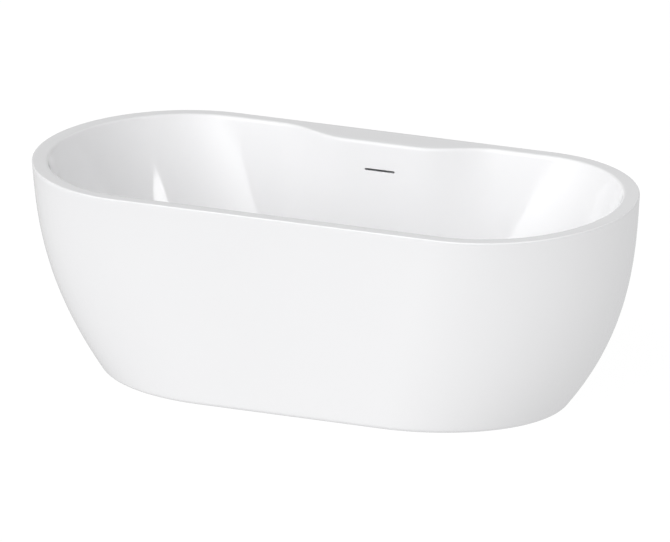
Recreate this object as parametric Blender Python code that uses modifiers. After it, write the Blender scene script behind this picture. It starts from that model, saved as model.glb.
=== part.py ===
"""A freestanding acrylic bathtub: a basin with a faucet deck, an oval skirt, and the levelled frame,
overflow and pop-up drain between them.

Metres, +Z up. The origin is on the floor under the middle of the bath. +X runs along its length and
+Y towards the faucet deck.
"""

import math

import bmesh
import bpy
from mathutils import Matrix, Vector

# Gaps
FIT = 0.0003  # between pieces that touch, are bonded or are screwed together
RUNNING = 0.0004  # around a rod or plunger that turns or slides

# Overall shape of the skirt
LENGTH = 1.700
WIDTH = 0.850
HEIGHT = 0.590
BASE_LENGTH = 1.310
BASE_WIDTH = 0.646
RIM_STRAIGHT = 0.925
BASE_STRAIGHT = 0.530
END_FLARE = 2.5
SIDE_FLARE = 0.94
FLOOR_GAP = 0.002
SKIRT_WALL = 0.004
SKIRT_FOOT_RADIUS = 0.012
SKIRT_LIP = 0.022
SKIRT_FLANGE = 0.022
SKIRT_LEVELS = 7

# Basin
BASIN_WALL = 0.005
RIM_END = 0.042
RIM_SIDE = 0.037
RIM_ROUND = 0.008
DECK_DEPTH = 0.066
DECK_FLAT = 0.210
DECK_SPAN = 0.640
FLOOR_HEIGHT = 0.150
FLOOR_STRAIGHT = 0.440
FLOOR_FALL = 0.004
END_SLOPE = 0.33
SIDE_SLOPE = 0.19
END_FILLET = 0.160
SIDE_FILLET = 0.110
FILLET_POWER = 2.6
WALL_LEVELS = 8
LAMINATE = 0.003
BOARD_THICKNESS = 0.015
BOARD_MARGIN = 0.012

# How finely an oval section is divided
END_STEPS = 16
BACK_STEPS = 14
FRONT_STEPS = 6

# Drain
BARREL_RADIUS = 0.023
BARREL_WALL = 0.003
BARREL_LENGTH = 0.048
HOLE_CLEARANCE = 0.003
FLANGE_OVERHANG = 0.011
FLANGE_THICKNESS = 0.0025
FLANGE_EDGE = 0.0008
RECESS_DEPTH = 0.003
RECESS_CLEARANCE = 0.004
RECESS_RAMP = 0.007
SEAL_THICKNESS = 0.001
SPIDER_HEIGHT = 0.006
SPIDER_BAR = 0.004
PLUNGER_RADIUS = 0.0045
CARTRIDGE_WALL = 0.0031
CARTRIDGE_RISE = 0.032
CARTRIDGE_DROP = 0.007
CARTRIDGE_FLOOR = 0.0025
SHOULDER_WIDTH = 0.003
SHOULDER_THICKNESS = 0.002
HUB_WALL = 0.0036
SPRING_WIRE = 0.0005
SPRING_LENGTH = 0.017
SPRING_TURNS = 6
CAP_INSET = 0.002
CAP_EDGE = 0.003
CAP_CROWN = 0.002
CAP_ROUND = 0.0005
CAP_BOSS_WALL = 0.0027
CAP_BOSS_LENGTH = 0.009
CAP_SOCKET = 0.002
CAP_SEAL_OVERLAP = 0.005
CAP_SEAL_THICKNESS = 0.002
WASHER_OVERHANG = 0.007
WASHER_THICKNESS = 0.004
SHOE_WALL = 0.0057
SHOE_FLANGE = 0.004
SHOE_BODY = 0.060
SHOE_FLOOR = 0.003
OUTLET_RADIUS = 0.020
OUTLET_WALL = 0.0045
OUTLET_CONE = 0.006
OUTLET_LENGTH = 0.017
SPIGOT_RADIUS = 0.0085
SPIGOT_WALL = 0.002
SPIGOT_DROP = 0.049
SPIGOT_LENGTH = 0.024
SLIP_WASHER = 0.002
TAIL_FLANGE_INSET = 0.001
TAIL_FLANGE_WIDTH = 0.003
TAIL_FLANGE = 0.002
TAIL_WALL = 0.0015
TAIL_END = 0.006
SLIP_NUT_WALL = 0.006
SLIP_NUT_HEIGHT = 0.020
SLIP_NUT_LIP = 0.003

# Overflow
SLOT_DROP = 0.078
SLOT_WIDTH = 0.088
SLOT_HEIGHT = 0.006
SLOT_MARGIN = 0.002
GASKET_THICKNESS = 0.003
GASKET_BORDER = 0.009
BOX_GAP = 0.0005
BOX_DEPTH = 0.024
BOX_WALL = 0.003
HOSE_FIT = 0.0013
HOSE_WALL = 0.0022
HOSE_GRIP = 0.018
HOSE_OFFSET = 0.032
CLIP_WIDTH = 0.008
CLIP_BAND = 0.0008
CLIP_BLOCK = 0.006

# Frame
TUBE = 0.025
TUBE_WALL = 0.002
RAIL_INSET = 0.042
RAIL_OVERHANG = 0.060
CROSS_INSET = 0.234
CROSS_TO_LIP = 0.020
SCREW_FROM_RAIL_END = 0.180
BOARD_SCREW_RADIUS = 0.0025
BOARD_SCREW_HEAD = 0.005
BOARD_SCREW_BITE = 0.010
SCREW_HEAD_HEIGHT = 0.003
BRACKET_WIDTH = 0.024
BRACKET_SHEET = 0.003
BRACKET_GAP = 0.0005
SKIRT_SCREW_RADIUS = 0.0022
SKIRT_SCREW_HEAD = 0.0045
SCREW_CLEARANCE = 0.0005

# Levelling feet
FOOT_FROM_CROSS_END = 0.032
ROD_RADIUS = 0.006
ROD_CHAMFER = 0.001
ROD_TOP_GAP = 0.004
ROD_HOLE_CLEARANCE = 0.0007
NUT_FLATS = 0.019
NUT_HEIGHT = 0.010
COLLAR_BOTTOM = 0.028
COLLAR_HEIGHT = 0.008
PAD_RADIUS = 0.025
PAD_THICKNESS = 0.008
PAD_NECK_RADIUS = 0.012
PAD_NECK_TOP = 0.020
PAD_SOCKET_FLOOR = 0.006
PAD_SHOULDER = 0.002
PAD_CHAMFER = 0.001

# Radii worked out from the sizes above
BARREL_BORE = BARREL_RADIUS - BARREL_WALL
HOLE_RADIUS = BARREL_RADIUS + HOLE_CLEARANCE
FLANGE_RADIUS = BARREL_RADIUS + FLANGE_OVERHANG
RECESS_RADIUS = FLANGE_RADIUS + RECESS_CLEARANCE
RECESS_EDGE = RECESS_RADIUS + RECESS_RAMP
CARTRIDGE_RADIUS = PLUNGER_RADIUS + RUNNING + CARTRIDGE_WALL
SHOULDER_RADIUS = CARTRIDGE_RADIUS + SHOULDER_WIDTH
HUB_RADIUS = CARTRIDGE_RADIUS + RUNNING + HUB_WALL
CAP_RADIUS = FLANGE_RADIUS - CAP_INSET
CAP_BOSS_RADIUS = PLUNGER_RADIUS + FIT + CAP_BOSS_WALL
CAP_SEAL_RADIUS = BARREL_RADIUS + CAP_SEAL_OVERLAP
SHOE_RADIUS = BARREL_RADIUS + FIT + SHOE_WALL
WASHER_RADIUS = SHOE_RADIUS + WASHER_OVERHANG
OUTLET_BORE = OUTLET_RADIUS - OUTLET_WALL
TAIL_FLANGE_RADIUS = OUTLET_RADIUS - TAIL_FLANGE_INSET
TAIL_RADIUS = TAIL_FLANGE_RADIUS - TAIL_FLANGE_WIDTH
TAIL_BORE = TAIL_RADIUS - TAIL_WALL
SLIP_NUT_RADIUS = OUTLET_RADIUS + SLIP_NUT_WALL
SPIGOT_BORE = SPIGOT_RADIUS - SPIGOT_WALL
HOSE_RADIUS = SPIGOT_RADIUS + HOSE_FIT + HOSE_WALL

# Levels worked out from the sizes above, all on the world's Z
SEAT = FLOOR_HEIGHT - FLOOR_FALL - RECESS_DEPTH
SKIRT_TOP = HEIGHT - BASIN_WALL - FIT
LIP_TOP = FLOOR_GAP + SKIRT_WALL
WALL_TOP = HEIGHT - RIM_ROUND
WALL_DEPTH = WALL_TOP - FLOOR_HEIGHT
SHELL = BASIN_WALL + FIT + LAMINATE
BOARD_TOP = FLOOR_HEIGHT - FLOOR_FALL - SHELL - FIT
BOARD_BOTTOM = BOARD_TOP - BOARD_THICKNESS
RAIL_TOP = BOARD_BOTTOM - FIT
RAIL_BOTTOM = RAIL_TOP - TUBE
CROSS_TOP = RAIL_BOTTOM - FIT
CROSS_BOTTOM = CROSS_TOP - TUBE
FLANGE_UNDER = SEAT + SEAL_THICKNESS + 2 * FIT
FLANGE_TOP = FLANGE_UNDER + FLANGE_THICKNESS
BARREL_BOTTOM = FLANGE_UNDER - BARREL_LENGTH
HUB_TOP = BARREL_BOTTOM + SPIDER_HEIGHT
CAP_SEAL_BOTTOM = FLANGE_TOP + FIT
CAP_UNDER = CAP_SEAL_BOTTOM + CAP_SEAL_THICKNESS + FIT
CARTRIDGE_BASE = BARREL_BOTTOM - CARTRIDGE_DROP
SPRING_BOTTOM = CARTRIDGE_BASE + CARTRIDGE_FLOOR + FIT
PLUNGER_BOTTOM = SPRING_BOTTOM + SPRING_LENGTH + FIT
WASHER_TOP = SEAT - SHELL - FIT
SHOE_TOP = WASHER_TOP - WASHER_THICKNESS - FIT
CHAMBER_BOTTOM = SHOE_TOP - SHOE_BODY
OUTLET_BOTTOM = CHAMBER_BOTTOM - OUTLET_CONE - OUTLET_LENGTH
SPIGOT_HEIGHT = SHOE_TOP - SPIGOT_DROP
SLIP_WASHER_TOP = OUTLET_BOTTOM - FIT
TAIL_TOP = SLIP_WASHER_TOP - SLIP_WASHER - FIT
SLIP_NUT_BOTTOM = TAIL_TOP - TAIL_FLANGE - FIT - SLIP_NUT_LIP

STEEL = ((0.34, 0.35, 0.36), 0.45, 1.0)
ZINC = ((0.62, 0.63, 0.62), 0.35, 1.0)
CHROME = ((0.80, 0.81, 0.82), 0.08, 1.0)
ACRYLIC = ((0.93, 0.93, 0.92), 0.12, 0.0)
GLASS_FIBRE = ((0.72, 0.70, 0.60), 0.70, 0.0)
PLYWOOD = ((0.55, 0.40, 0.24), 0.75, 0.0)
RUBBER = ((0.03, 0.03, 0.03), 0.80, 0.0)
BLACK_PLASTIC = ((0.05, 0.05, 0.05), 0.50, 0.0)
GREY_PLASTIC = ((0.55, 0.56, 0.57), 0.45, 0.0)


def clear_scene():
    for obj in list(bpy.data.objects):
        bpy.data.objects.remove(obj, do_unlink=True)


def new_collection(name):
    collection = bpy.data.collections.new(name)
    bpy.context.scene.collection.children.link(collection)
    return collection


clear_scene()
PARTS = new_collection("freestanding_bathtub")
CUTTERS = new_collection("cutters")


# Objects, modifiers and materials


def finish(obj, colour, roughness, metallic):
    material = bpy.data.materials.new(obj.name)
    material.use_nodes = True
    shader = material.node_tree.nodes["Principled BSDF"]
    shader.inputs["Base Color"].default_value = (*colour, 1)
    shader.inputs["Roughness"].default_value = roughness
    shader.inputs["Metallic"].default_value = metallic
    obj.data.materials.append(material)


def place(name, data, look, location=(0, 0, 0), parent=None):
    """A part in the scene, with its material."""
    obj = bpy.data.objects.new(name, data)
    obj.location = location
    obj.parent = parent
    PARTS.objects.link(obj)
    finish(obj, *look)
    return obj


def helper(name, data, location=(0, 0, 0), parent=None):
    """A cutter or a joined piece, which only serves a Boolean."""
    obj = bpy.data.objects.new(name, data)
    obj.location = location
    obj.parent = parent
    obj.hide_render = True
    obj.display_type = "WIRE"
    CUTTERS.objects.link(obj)
    return obj


def axis_empty(name, location, tilt=0.0):
    empty = bpy.data.objects.new(name, None)
    empty.location = location
    empty.rotation_euler = (tilt, 0, 0)
    PARTS.objects.link(empty)
    return empty


def boolean(obj, other, operation="DIFFERENCE"):
    modifier = obj.modifiers.new(f"{operation.lower()}_{other.name}", "BOOLEAN")
    modifier.operation = operation
    modifier.object = other
    modifier.solver = "EXACT"


def thicken(obj, thickness, depth=0.0):
    """Material from depth to depth + thickness behind the face of an open sheet."""
    modifier = obj.modifiers.new("wall", "SOLIDIFY")
    modifier.thickness = thickness
    modifier.offset = -1 - 2 * depth / thickness
    modifier.use_even_offset = True
    modifier.use_quality_normals = True


def turn(obj, steps):
    modifier = obj.modifiers.new("turn", "SCREW")
    modifier.axis = "Z"
    modifier.angle = math.tau
    modifier.screw_offset = 0
    modifier.steps = steps
    modifier.render_steps = steps
    modifier.use_smooth_shade = True
    modifier.use_merge_vertices = True
    modifier.merge_threshold = 0.00001


# Meshes


def mesh_of(bm, name):
    mesh = bpy.data.meshes.new(name)
    bm.to_mesh(mesh)
    bm.free()
    return mesh


def profile_mesh(points, ring):
    """Points (radius, z) joined in order. A ring is closed, a solid starts and ends on the axis."""
    bm = bmesh.new()
    verts = [bm.verts.new((radius, 0, z)) for radius, z in points]
    for start, end in zip(verts, verts[1:]):
        bm.edges.new((start, end))
    if ring:
        bm.edges.new((verts[-1], verts[0]))
    return mesh_of(bm, "profile")


def turned(name, points, look, ring=True, steps=24, location=(0, 0, 0), parent=None):
    obj = place(name, profile_mesh(points, ring), look, location, parent)
    turn(obj, steps)
    return obj


def washer(name, inner, outer, bottom, thickness, look):
    top = bottom + thickness
    return turned(name, [(inner, top), (outer, top), (outer, bottom), (inner, bottom)], look)


def prism_mesh(radius, bottom, top, segments, turn_to=Matrix.Identity(4)):
    """An upright cylinder, or a hexagon with six segments."""
    bm = bmesh.new()
    lift = Matrix.Translation((0, 0, (bottom + top) / 2))
    bmesh.ops.create_cone(
        bm, cap_ends=True, segments=segments, radius1=radius, radius2=radius,
        depth=top - bottom, matrix=turn_to @ lift,
    )
    return mesh_of(bm, "prism")


def box_mesh(low, high):
    bm = bmesh.new()
    low, high = Vector(low), Vector(high)
    size = high - low
    bmesh.ops.create_cube(
        bm, size=1, matrix=Matrix.Translation((low + high) / 2) @ Matrix.Diagonal((*size, 1))
    )
    return mesh_of(bm, "box")


def plate_mesh(outline, push):
    """A flat outline of points, pushed along a vector into a solid."""
    bm = bmesh.new()
    face = bm.faces.new([bm.verts.new(point) for point in outline])
    grown = bmesh.ops.extrude_face_region(bm, geom=[face])["geom"]
    bmesh.ops.translate(bm, vec=push, verts=[v for v in grown if isinstance(v, bmesh.types.BMVert)])
    bmesh.ops.recalc_face_normals(bm, faces=bm.faces)
    return mesh_of(bm, "plate")


def loft_mesh(sections):
    """An open sheet through closed sections with the same number of points. It faces up where the
    sections close in, and outwards where they rise."""
    bm = bmesh.new()
    loops = [[bm.verts.new(point) for point in section] for section in sections]
    count = len(loops[0])
    for first, second in zip(loops, loops[1:]):
        for i in range(count):
            j = (i + 1) % count
            bm.faces.new((first[i], first[j], second[j], second[i]))
    mesh = mesh_of(bm, "loft")
    mesh.shade_smooth()
    return mesh


# The oval sections


def oval(length, width, straight, z, back_steps=FRONT_STEPS):
    """An oval with straight sides and elliptical ends, anticlockwise from the front right."""
    a, b, s = length / 2, width / 2, straight / 2
    points = []
    for side, steps in ((1, back_steps), (-1, FRONT_STEPS)):
        for i in range(END_STEPS + 1):
            angle = math.pi * (i / END_STEPS - 0.5)
            points.append(
                Vector((side * (s + (a - s) * math.cos(angle)), side * b * math.sin(angle), z))
            )
        for i in range(1, steps):
            points.append(Vector((side * s * (1 - 2 * i / steps), side * b, z)))
    return points


def half_width_at(length, width, straight, x):
    """Half the width of an oval at a distance x from its middle."""
    beyond = max(abs(x) - straight / 2, 0) / ((length - straight) / 2)
    return width / 2 * math.sqrt(1 - beyond**2)


def skirt_size(z):
    """Length, width and straight side of the skirt's outer face at a height."""
    rise = 1 - z / HEIGHT
    return (
        LENGTH - (LENGTH - BASE_LENGTH) * rise**END_FLARE,
        WIDTH - (WIDTH - BASE_WIDTH) * rise**SIDE_FLARE,
        RIM_STRAIGHT - (RIM_STRAIGHT - BASE_STRAIGHT) * rise,
    )


def skirt_section(z, inset):
    length, width, straight = skirt_size(z)
    return oval(length - 2 * inset, width - 2 * inset, straight, z)


def skirt_inside(x, z, inset=SKIRT_WALL):
    """How far from the middle line the skirt's inner face, or a line further in, is at x and z."""
    length, width, straight = skirt_size(z)
    return half_width_at(length - 2 * inset, width - 2 * inset, straight, x)


def deck_shape(x):
    """1 across the deck's flat middle, falling to 0 at its ends in an S-curve."""
    along = (abs(x) - DECK_FLAT / 2) / ((DECK_SPAN - DECK_FLAT) / 2)
    return 0.5 * (1 + math.cos(math.pi * min(max(along, 0), 1)))


def basin_section(end_inset, side_inset, straight, z, deck):
    points = oval(LENGTH - 2 * end_inset, WIDTH - 2 * side_inset, straight, z, BACK_STEPS)
    for point in points:
        if point.y > 0:
            point.y -= deck * deck_shape(point.x)
    return points


def wall_inset(fraction, rim, slope, fillet):
    """How far in the basin's wall is at a fraction of its depth: a slope that a superellipse rounds
    into the floor."""
    rounding = 1 - (1 - fraction**FILLET_POWER) ** (1 / FILLET_POWER)
    return rim + RIM_ROUND / 2 + slope * WALL_DEPTH * fraction + fillet * rounding


def wall_straight(fraction):
    return RIM_STRAIGHT + (FLOOR_STRAIGHT - RIM_STRAIGHT) * fraction


def wall_section(fraction):
    return basin_section(
        wall_inset(fraction, RIM_END, END_SLOPE, END_FILLET),
        wall_inset(fraction, RIM_SIDE, SIDE_SLOPE, SIDE_FILLET),
        wall_straight(fraction),
        WALL_TOP - WALL_DEPTH * fraction,
        DECK_DEPTH * (1 - fraction),
    )


def wall_fraction(level):
    """Levels crowd together towards the floor, where the wall turns most."""
    return 1 - (1 - level / WALL_LEVELS) ** 2


def back_wall(z):
    """Y of the basin's face at x = 0 on the deck side."""
    fraction = (WALL_TOP - z) / WALL_DEPTH
    inset = wall_inset(fraction, RIM_SIDE, SIDE_SLOPE, SIDE_FILLET)
    return WIDTH / 2 - inset - DECK_DEPTH * (1 - fraction)


def floor_sections(edge):
    """From the floor's edge down to the drain hole, as circles with a point towards each of the
    edge's points."""
    circles = (
        (RECESS_EDGE, FLOOR_HEIGHT - FLOOR_FALL),
        (RECESS_RADIUS, SEAT),
        (HOLE_RADIUS, SEAT),
    )
    for radius, z in circles:
        angles = [math.atan2(point.y, point.x) for point in edge]
        yield [Vector((radius * math.cos(a), radius * math.sin(a), z)) for a in angles]


def basin_sections(first_level=0):
    """The wall from a level down, and the floor."""
    walls = [wall_section(wall_fraction(k)) for k in range(first_level, WALL_LEVELS + 1)]
    return [*walls, *floor_sections(walls[-1])]


FLOOR_LENGTH = LENGTH - 2 * wall_inset(1, RIM_END, END_SLOPE, END_FILLET)
FLOOR_WIDTH = WIDTH - 2 * wall_inset(1, RIM_SIDE, SIDE_SLOPE, SIDE_FILLET)

# The overflow's frame: on the back of the basin's wall behind the slot, with +Y away from the basin
SLOT_Z = HEIGHT - SLOT_DROP
WALL_LEAN = math.atan2(back_wall(SLOT_Z + 0.01) - back_wall(SLOT_Z - 0.01), 0.02)


# Shells


def make_slot_cutter(name, margin):
    """A stadium-shaped bar through the back wall at the overflow slot."""
    radius = SLOT_HEIGHT / 2 + margin
    half = SLOT_WIDTH / 2 - SLOT_HEIGHT / 2
    outline = []
    for side in (1, -1):
        for i in range(7):
            angle = math.pi * (i / 6 - 0.5)
            outline.append(
                (side * (half + radius * math.cos(angle)), 0, side * radius * math.sin(angle))
            )
    reach = SHELL + BOX_DEPTH
    cutter = helper(name, plate_mesh(outline, (0, 2 * reach, 0)), (0, back_wall(SLOT_Z) - reach, SLOT_Z))
    return cutter


def make_basin():
    rim = [basin_section(0, 0, RIM_STRAIGHT, HEIGHT, 0)]
    for i in range(3):
        angle = math.radians(30 * i)
        inset = RIM_ROUND * (math.sin(angle) - 0.5)
        z = WALL_TOP + RIM_ROUND * math.cos(angle)
        rim.append(basin_section(RIM_END + inset, RIM_SIDE + inset, RIM_STRAIGHT, z, DECK_DEPTH))
    basin = place("inner_basin", loft_mesh([*rim, *basin_sections()]), ACRYLIC)
    thicken(basin, BASIN_WALL)
    boolean(basin, make_slot_cutter("slot_cut_basin", 0))

    laminate = place("basin_laminate", loft_mesh(basin_sections(first_level=1)), GLASS_FIBRE)
    thicken(laminate, LAMINATE, BASIN_WALL + FIT)


def skirt_screw_places():
    for end in (1, -1):
        for side in (1, -1):
            x = end * CROSS_X
            inner = skirt_inside(x, FLOOR_GAP, SKIRT_FOOT_RADIUS + SKIRT_LIP)
            outer = skirt_inside(x, FLOOR_GAP, SKIRT_FOOT_RADIUS)
            yield x, side * (inner + outer) / 2


def make_skirt():
    sections = [skirt_section(FLOOR_GAP, SKIRT_FOOT_RADIUS + SKIRT_LIP)]
    for i in range(4):
        angle = math.radians(30 * i)
        z = FLOOR_GAP + SKIRT_FOOT_RADIUS * (1 - math.cos(angle))
        sections.append(skirt_section(z, SKIRT_FOOT_RADIUS * (1 - math.sin(angle))))
    start = FLOOR_GAP + SKIRT_FOOT_RADIUS
    for i in range(1, SKIRT_LEVELS + 1):
        sections.append(skirt_section(start + (SKIRT_TOP - start) * i / SKIRT_LEVELS, 0))
    sections.append(skirt_section(SKIRT_TOP, SKIRT_FLANGE))
    skirt = place("outer_skirt", loft_mesh(sections), ACRYLIC)
    thicken(skirt, SKIRT_WALL)
    radius = SKIRT_SCREW_RADIUS + SCREW_CLEARANCE
    for number, (x, y) in enumerate(skirt_screw_places(), 1):
        hole = prism_mesh(radius, 0, 2 * LIP_TOP, 8)
        boolean(skirt, helper(f"lip_hole_{number}", hole, (x, y, 0)))


# Base board and frame

RAIL_Y = FLOOR_WIDTH / 2 - RAIL_INSET
CROSS_X = BASE_LENGTH / 2 - CROSS_INSET
RAIL_HALF = CROSS_X + RAIL_OVERHANG
CROSS_HALF = skirt_inside(CROSS_X, FLOOR_GAP, SKIRT_FOOT_RADIUS + SKIRT_LIP) - CROSS_TO_LIP
FOOT_Y = CROSS_HALF - FOOT_FROM_CROSS_END
SCREW_X = RAIL_HALF - SCREW_FROM_RAIL_END


def make_board():
    outline = oval(
        FLOOR_LENGTH + 2 * BOARD_MARGIN, FLOOR_WIDTH + 2 * BOARD_MARGIN, FLOOR_STRAIGHT, BOARD_BOTTOM
    )
    board = place("base_board", plate_mesh(outline, (0, 0, BOARD_THICKNESS)), PLYWOOD)
    hole = prism_mesh(WASHER_RADIUS + BOARD_MARGIN, 0, HEIGHT, 24)
    boolean(board, helper("board_drain_hole", hole))
    for number, (x, y) in enumerate(board_screw_places(), 1):
        pilot = prism_mesh(
            BOARD_SCREW_RADIUS + FIT, 0, BOARD_BOTTOM + BOARD_SCREW_BITE + FIT, 8
        )
        boolean(board, helper(f"board_pilot_{number}", pilot, (x, y, 0)))


def board_screw_places():
    for end in (1, -1):
        for side in (1, -1):
            yield end * SCREW_X, side * RAIL_Y


def make_tube(name, half_length, along_y, centre):
    """Square steel tube, open at both ends."""
    half = TUBE / 2
    corners = ((-half, -half), (half, -half), (half, half), (-half, half))
    if along_y:
        sections = [[(u, v, w) for u, w in corners] for v in (half_length, -half_length)]
    else:
        sections = [[(v, u, w) for u, w in corners] for v in (-half_length, half_length)]
    tube = place(name, loft_mesh(sections), STEEL, centre)
    tube.data.shade_flat()
    thicken(tube, TUBE_WALL)
    return tube


def make_frame():
    for name, side in (("frame_rail_back", 1), ("frame_rail_front", -1)):
        rail = make_tube(name, RAIL_HALF, False, (0, side * RAIL_Y, (RAIL_TOP + RAIL_BOTTOM) / 2))
        for end in (1, -1):
            hole = prism_mesh(BOARD_SCREW_RADIUS + SCREW_CLEARANCE, 0, HEIGHT, 8)
            boolean(rail, helper(f"{name}_hole", hole, (end * SCREW_X, side * RAIL_Y, 0)))
    for name, end in (("frame_cross_right", 1), ("frame_cross_left", -1)):
        cross = make_tube(name, CROSS_HALF, True, (end * CROSS_X, 0, (CROSS_TOP + CROSS_BOTTOM) / 2))
        for side in (1, -1):
            hole = prism_mesh(ROD_RADIUS + ROD_HOLE_CLEARANCE, 0, HEIGHT, 16)
            boolean(cross, helper(f"{name}_hole", hole, (end * CROSS_X, side * FOOT_Y, 0)))


def make_screw(name, x, y, head_radius, head_bottom, head_top, shank_radius, shank_end):
    """A pan-head screw. Its shank runs up or down from its head to shank_end."""
    if shank_end > head_top:
        points = [
            (0, shank_end), (shank_radius, shank_end), (shank_radius, head_top),
            (head_radius, head_top), (0.8 * head_radius, head_bottom), (0, head_bottom),
        ]
    else:
        points = [
            (0, head_top), (0.8 * head_radius, head_top), (head_radius, head_bottom),
            (shank_radius, head_bottom), (shank_radius, shank_end), (0, shank_end),
        ]
    turned(name, points, ZINC, ring=False, steps=8, location=(x, y, 0))


def make_board_screws():
    for number, (x, y) in enumerate(board_screw_places(), 1):
        top = RAIL_BOTTOM - FIT
        make_screw(
            f"board_screw_{number}", x, y, BOARD_SCREW_HEAD, top - SCREW_HEAD_HEIGHT, top,
            BOARD_SCREW_RADIUS, BOARD_BOTTOM + BOARD_SCREW_BITE,
        )


def make_skirt_brackets():
    """Angles welded to the ends of the cross tubes, screwed down on the skirt's return lip."""
    bottom = LIP_TOP + FIT
    for number, (x, y) in enumerate(skirt_screw_places(), 1):
        side = math.copysign(1, y)
        near = CROSS_HALF + FIT
        outer_corner = abs(x) + BRACKET_WIDTH / 2
        far = skirt_inside(outer_corner, FLOOR_GAP, SKIRT_FOOT_RADIUS) - BRACKET_GAP
        start = x - BRACKET_WIDTH / 2
        outline = [
            (start, side * near, bottom),
            (start, side * far, bottom),
            (start, side * far, bottom + BRACKET_SHEET),
            (start, side * (near + BRACKET_SHEET), bottom + BRACKET_SHEET),
            (start, side * (near + BRACKET_SHEET), CROSS_TOP),
            (start, side * near, CROSS_TOP),
        ]
        name = f"skirt_bracket_{number}"
        bracket = place(name, plate_mesh(outline, (BRACKET_WIDTH, 0, 0)), STEEL)
        hole = prism_mesh(SKIRT_SCREW_RADIUS + SCREW_CLEARANCE, 0, 2 * bottom, 8)
        boolean(bracket, helper(f"{name}_hole", hole, (x, y, 0)))
        head = bottom + BRACKET_SHEET + FIT
        make_screw(
            f"skirt_screw_{number}", x, y, SKIRT_SCREW_HEAD, head, head + SCREW_HEAD_HEIGHT,
            SKIRT_SCREW_RADIUS, FLOOR_GAP + FIT,
        )


# Levelling feet


def make_nut(name, bottom, location):
    """A hexagon nut around the rod."""
    hexagon = prism_mesh(NUT_FLATS / math.sqrt(3), bottom, bottom + NUT_HEIGHT, 6)
    nut = place(name, hexagon, ZINC, location)
    bore = prism_mesh(ROD_RADIUS + RUNNING, 0, HEIGHT, 16)
    boolean(nut, helper(f"{name}_bore", bore, location))


def make_foot(number, x, y):
    """A pad that the rod turns in, and the rod, which the nut on top of the cross tube guides."""
    axis = axis_empty(f"foot_axis_{number}", (x, y, 0))
    socket = ROD_RADIUS + RUNNING
    pad = [
        (0, PAD_SOCKET_FLOOR), (socket, PAD_SOCKET_FLOOR), (socket, PAD_NECK_TOP),
        (PAD_NECK_RADIUS - PAD_CHAMFER, PAD_NECK_TOP),
        (PAD_NECK_RADIUS, PAD_NECK_TOP - PAD_CHAMFER), (PAD_NECK_RADIUS, PAD_THICKNESS + PAD_SHOULDER),
        (PAD_RADIUS - PAD_CHAMFER, PAD_THICKNESS), (PAD_RADIUS, PAD_THICKNESS - PAD_CHAMFER),
        (PAD_RADIUS, PAD_CHAMFER), (PAD_RADIUS - PAD_CHAMFER, 0), (0, 0),
    ]
    turned(f"foot_pad_{number}", pad, BLACK_PLASTIC, ring=False, steps=16, parent=axis)

    top, bottom = BOARD_BOTTOM - ROD_TOP_GAP, PAD_SOCKET_FLOOR + FIT
    rod_points = [
        (0, top), (ROD_RADIUS - ROD_CHAMFER, top), (ROD_RADIUS, top - ROD_CHAMFER),
        (ROD_RADIUS, bottom + ROD_CHAMFER), (ROD_RADIUS - ROD_CHAMFER, bottom), (0, bottom),
    ]
    rod = turned(f"foot_rod_{number}", rod_points, ZINC, ring=False, steps=16, parent=axis)
    hexagon = prism_mesh(NUT_FLATS / math.sqrt(3), COLLAR_BOTTOM, COLLAR_BOTTOM + COLLAR_HEIGHT, 6)
    boolean(rod, helper(f"foot_collar_{number}", hexagon, parent=axis), "UNION")

    make_nut(f"foot_weld_nut_{number}", CROSS_TOP + FIT, (x, y, 0))
    make_nut(f"foot_lock_nut_{number}", CROSS_BOTTOM - FIT - NUT_HEIGHT, (x, y, 0))


def make_feet():
    number = 0
    for end in (1, -1):
        for side in (1, -1):
            number += 1
            make_foot(number, end * CROSS_X, side * FOOT_Y)


# Drain


def make_flange():
    """The chromed flange, with a threaded barrel and a four-armed spider at its lower end."""
    edge = FLANGE_EDGE
    points = [
        (BARREL_BORE + 2 * edge, FLANGE_TOP), (FLANGE_RADIUS - edge, FLANGE_TOP),
        (FLANGE_RADIUS, FLANGE_TOP - edge), (FLANGE_RADIUS, FLANGE_UNDER),
        (BARREL_RADIUS, FLANGE_UNDER), (BARREL_RADIUS, BARREL_BOTTOM),
        (BARREL_BORE, BARREL_BOTTOM), (BARREL_BORE, FLANGE_TOP - 2 * edge),
    ]
    flange = turned("drain_flange", points, CHROME, steps=24)
    reach = (BARREL_BORE + BARREL_RADIUS) / 2
    half = SPIDER_BAR / 2
    bars = ((reach, half), (half, reach))
    for name, (x, y) in zip(("spider_bar_x", "spider_bar_y"), bars):
        bar = box_mesh((-x, -y, BARREL_BOTTOM), (x, y, HUB_TOP))
        boolean(flange, helper(name, bar), "UNION")
    hub = prism_mesh(HUB_RADIUS, BARREL_BOTTOM, HUB_TOP, 16)
    boolean(flange, helper("spider_hub", hub), "UNION")
    bore = prism_mesh(CARTRIDGE_RADIUS + RUNNING, 0, HEIGHT, 16)
    boolean(flange, helper("spider_bore", bore))


def make_cartridge():
    """The click cartridge, which stands in the spider's hub and guides the plunger."""
    bore = PLUNGER_RADIUS + RUNNING
    shoulder = HUB_TOP + FIT
    top = HUB_TOP + CARTRIDGE_RISE
    floor = CARTRIDGE_BASE + CARTRIDGE_FLOOR
    points = [
        (0, floor), (bore, floor), (bore, top), (CARTRIDGE_RADIUS, top),
        (CARTRIDGE_RADIUS, shoulder + SHOULDER_THICKNESS),
        (SHOULDER_RADIUS, shoulder + SHOULDER_THICKNESS), (SHOULDER_RADIUS, shoulder),
        (CARTRIDGE_RADIUS, shoulder), (CARTRIDGE_RADIUS, CARTRIDGE_BASE), (0, CARTRIDGE_BASE),
    ]
    turned("click_cartridge", points, CHROME, ring=False, steps=16)


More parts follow.
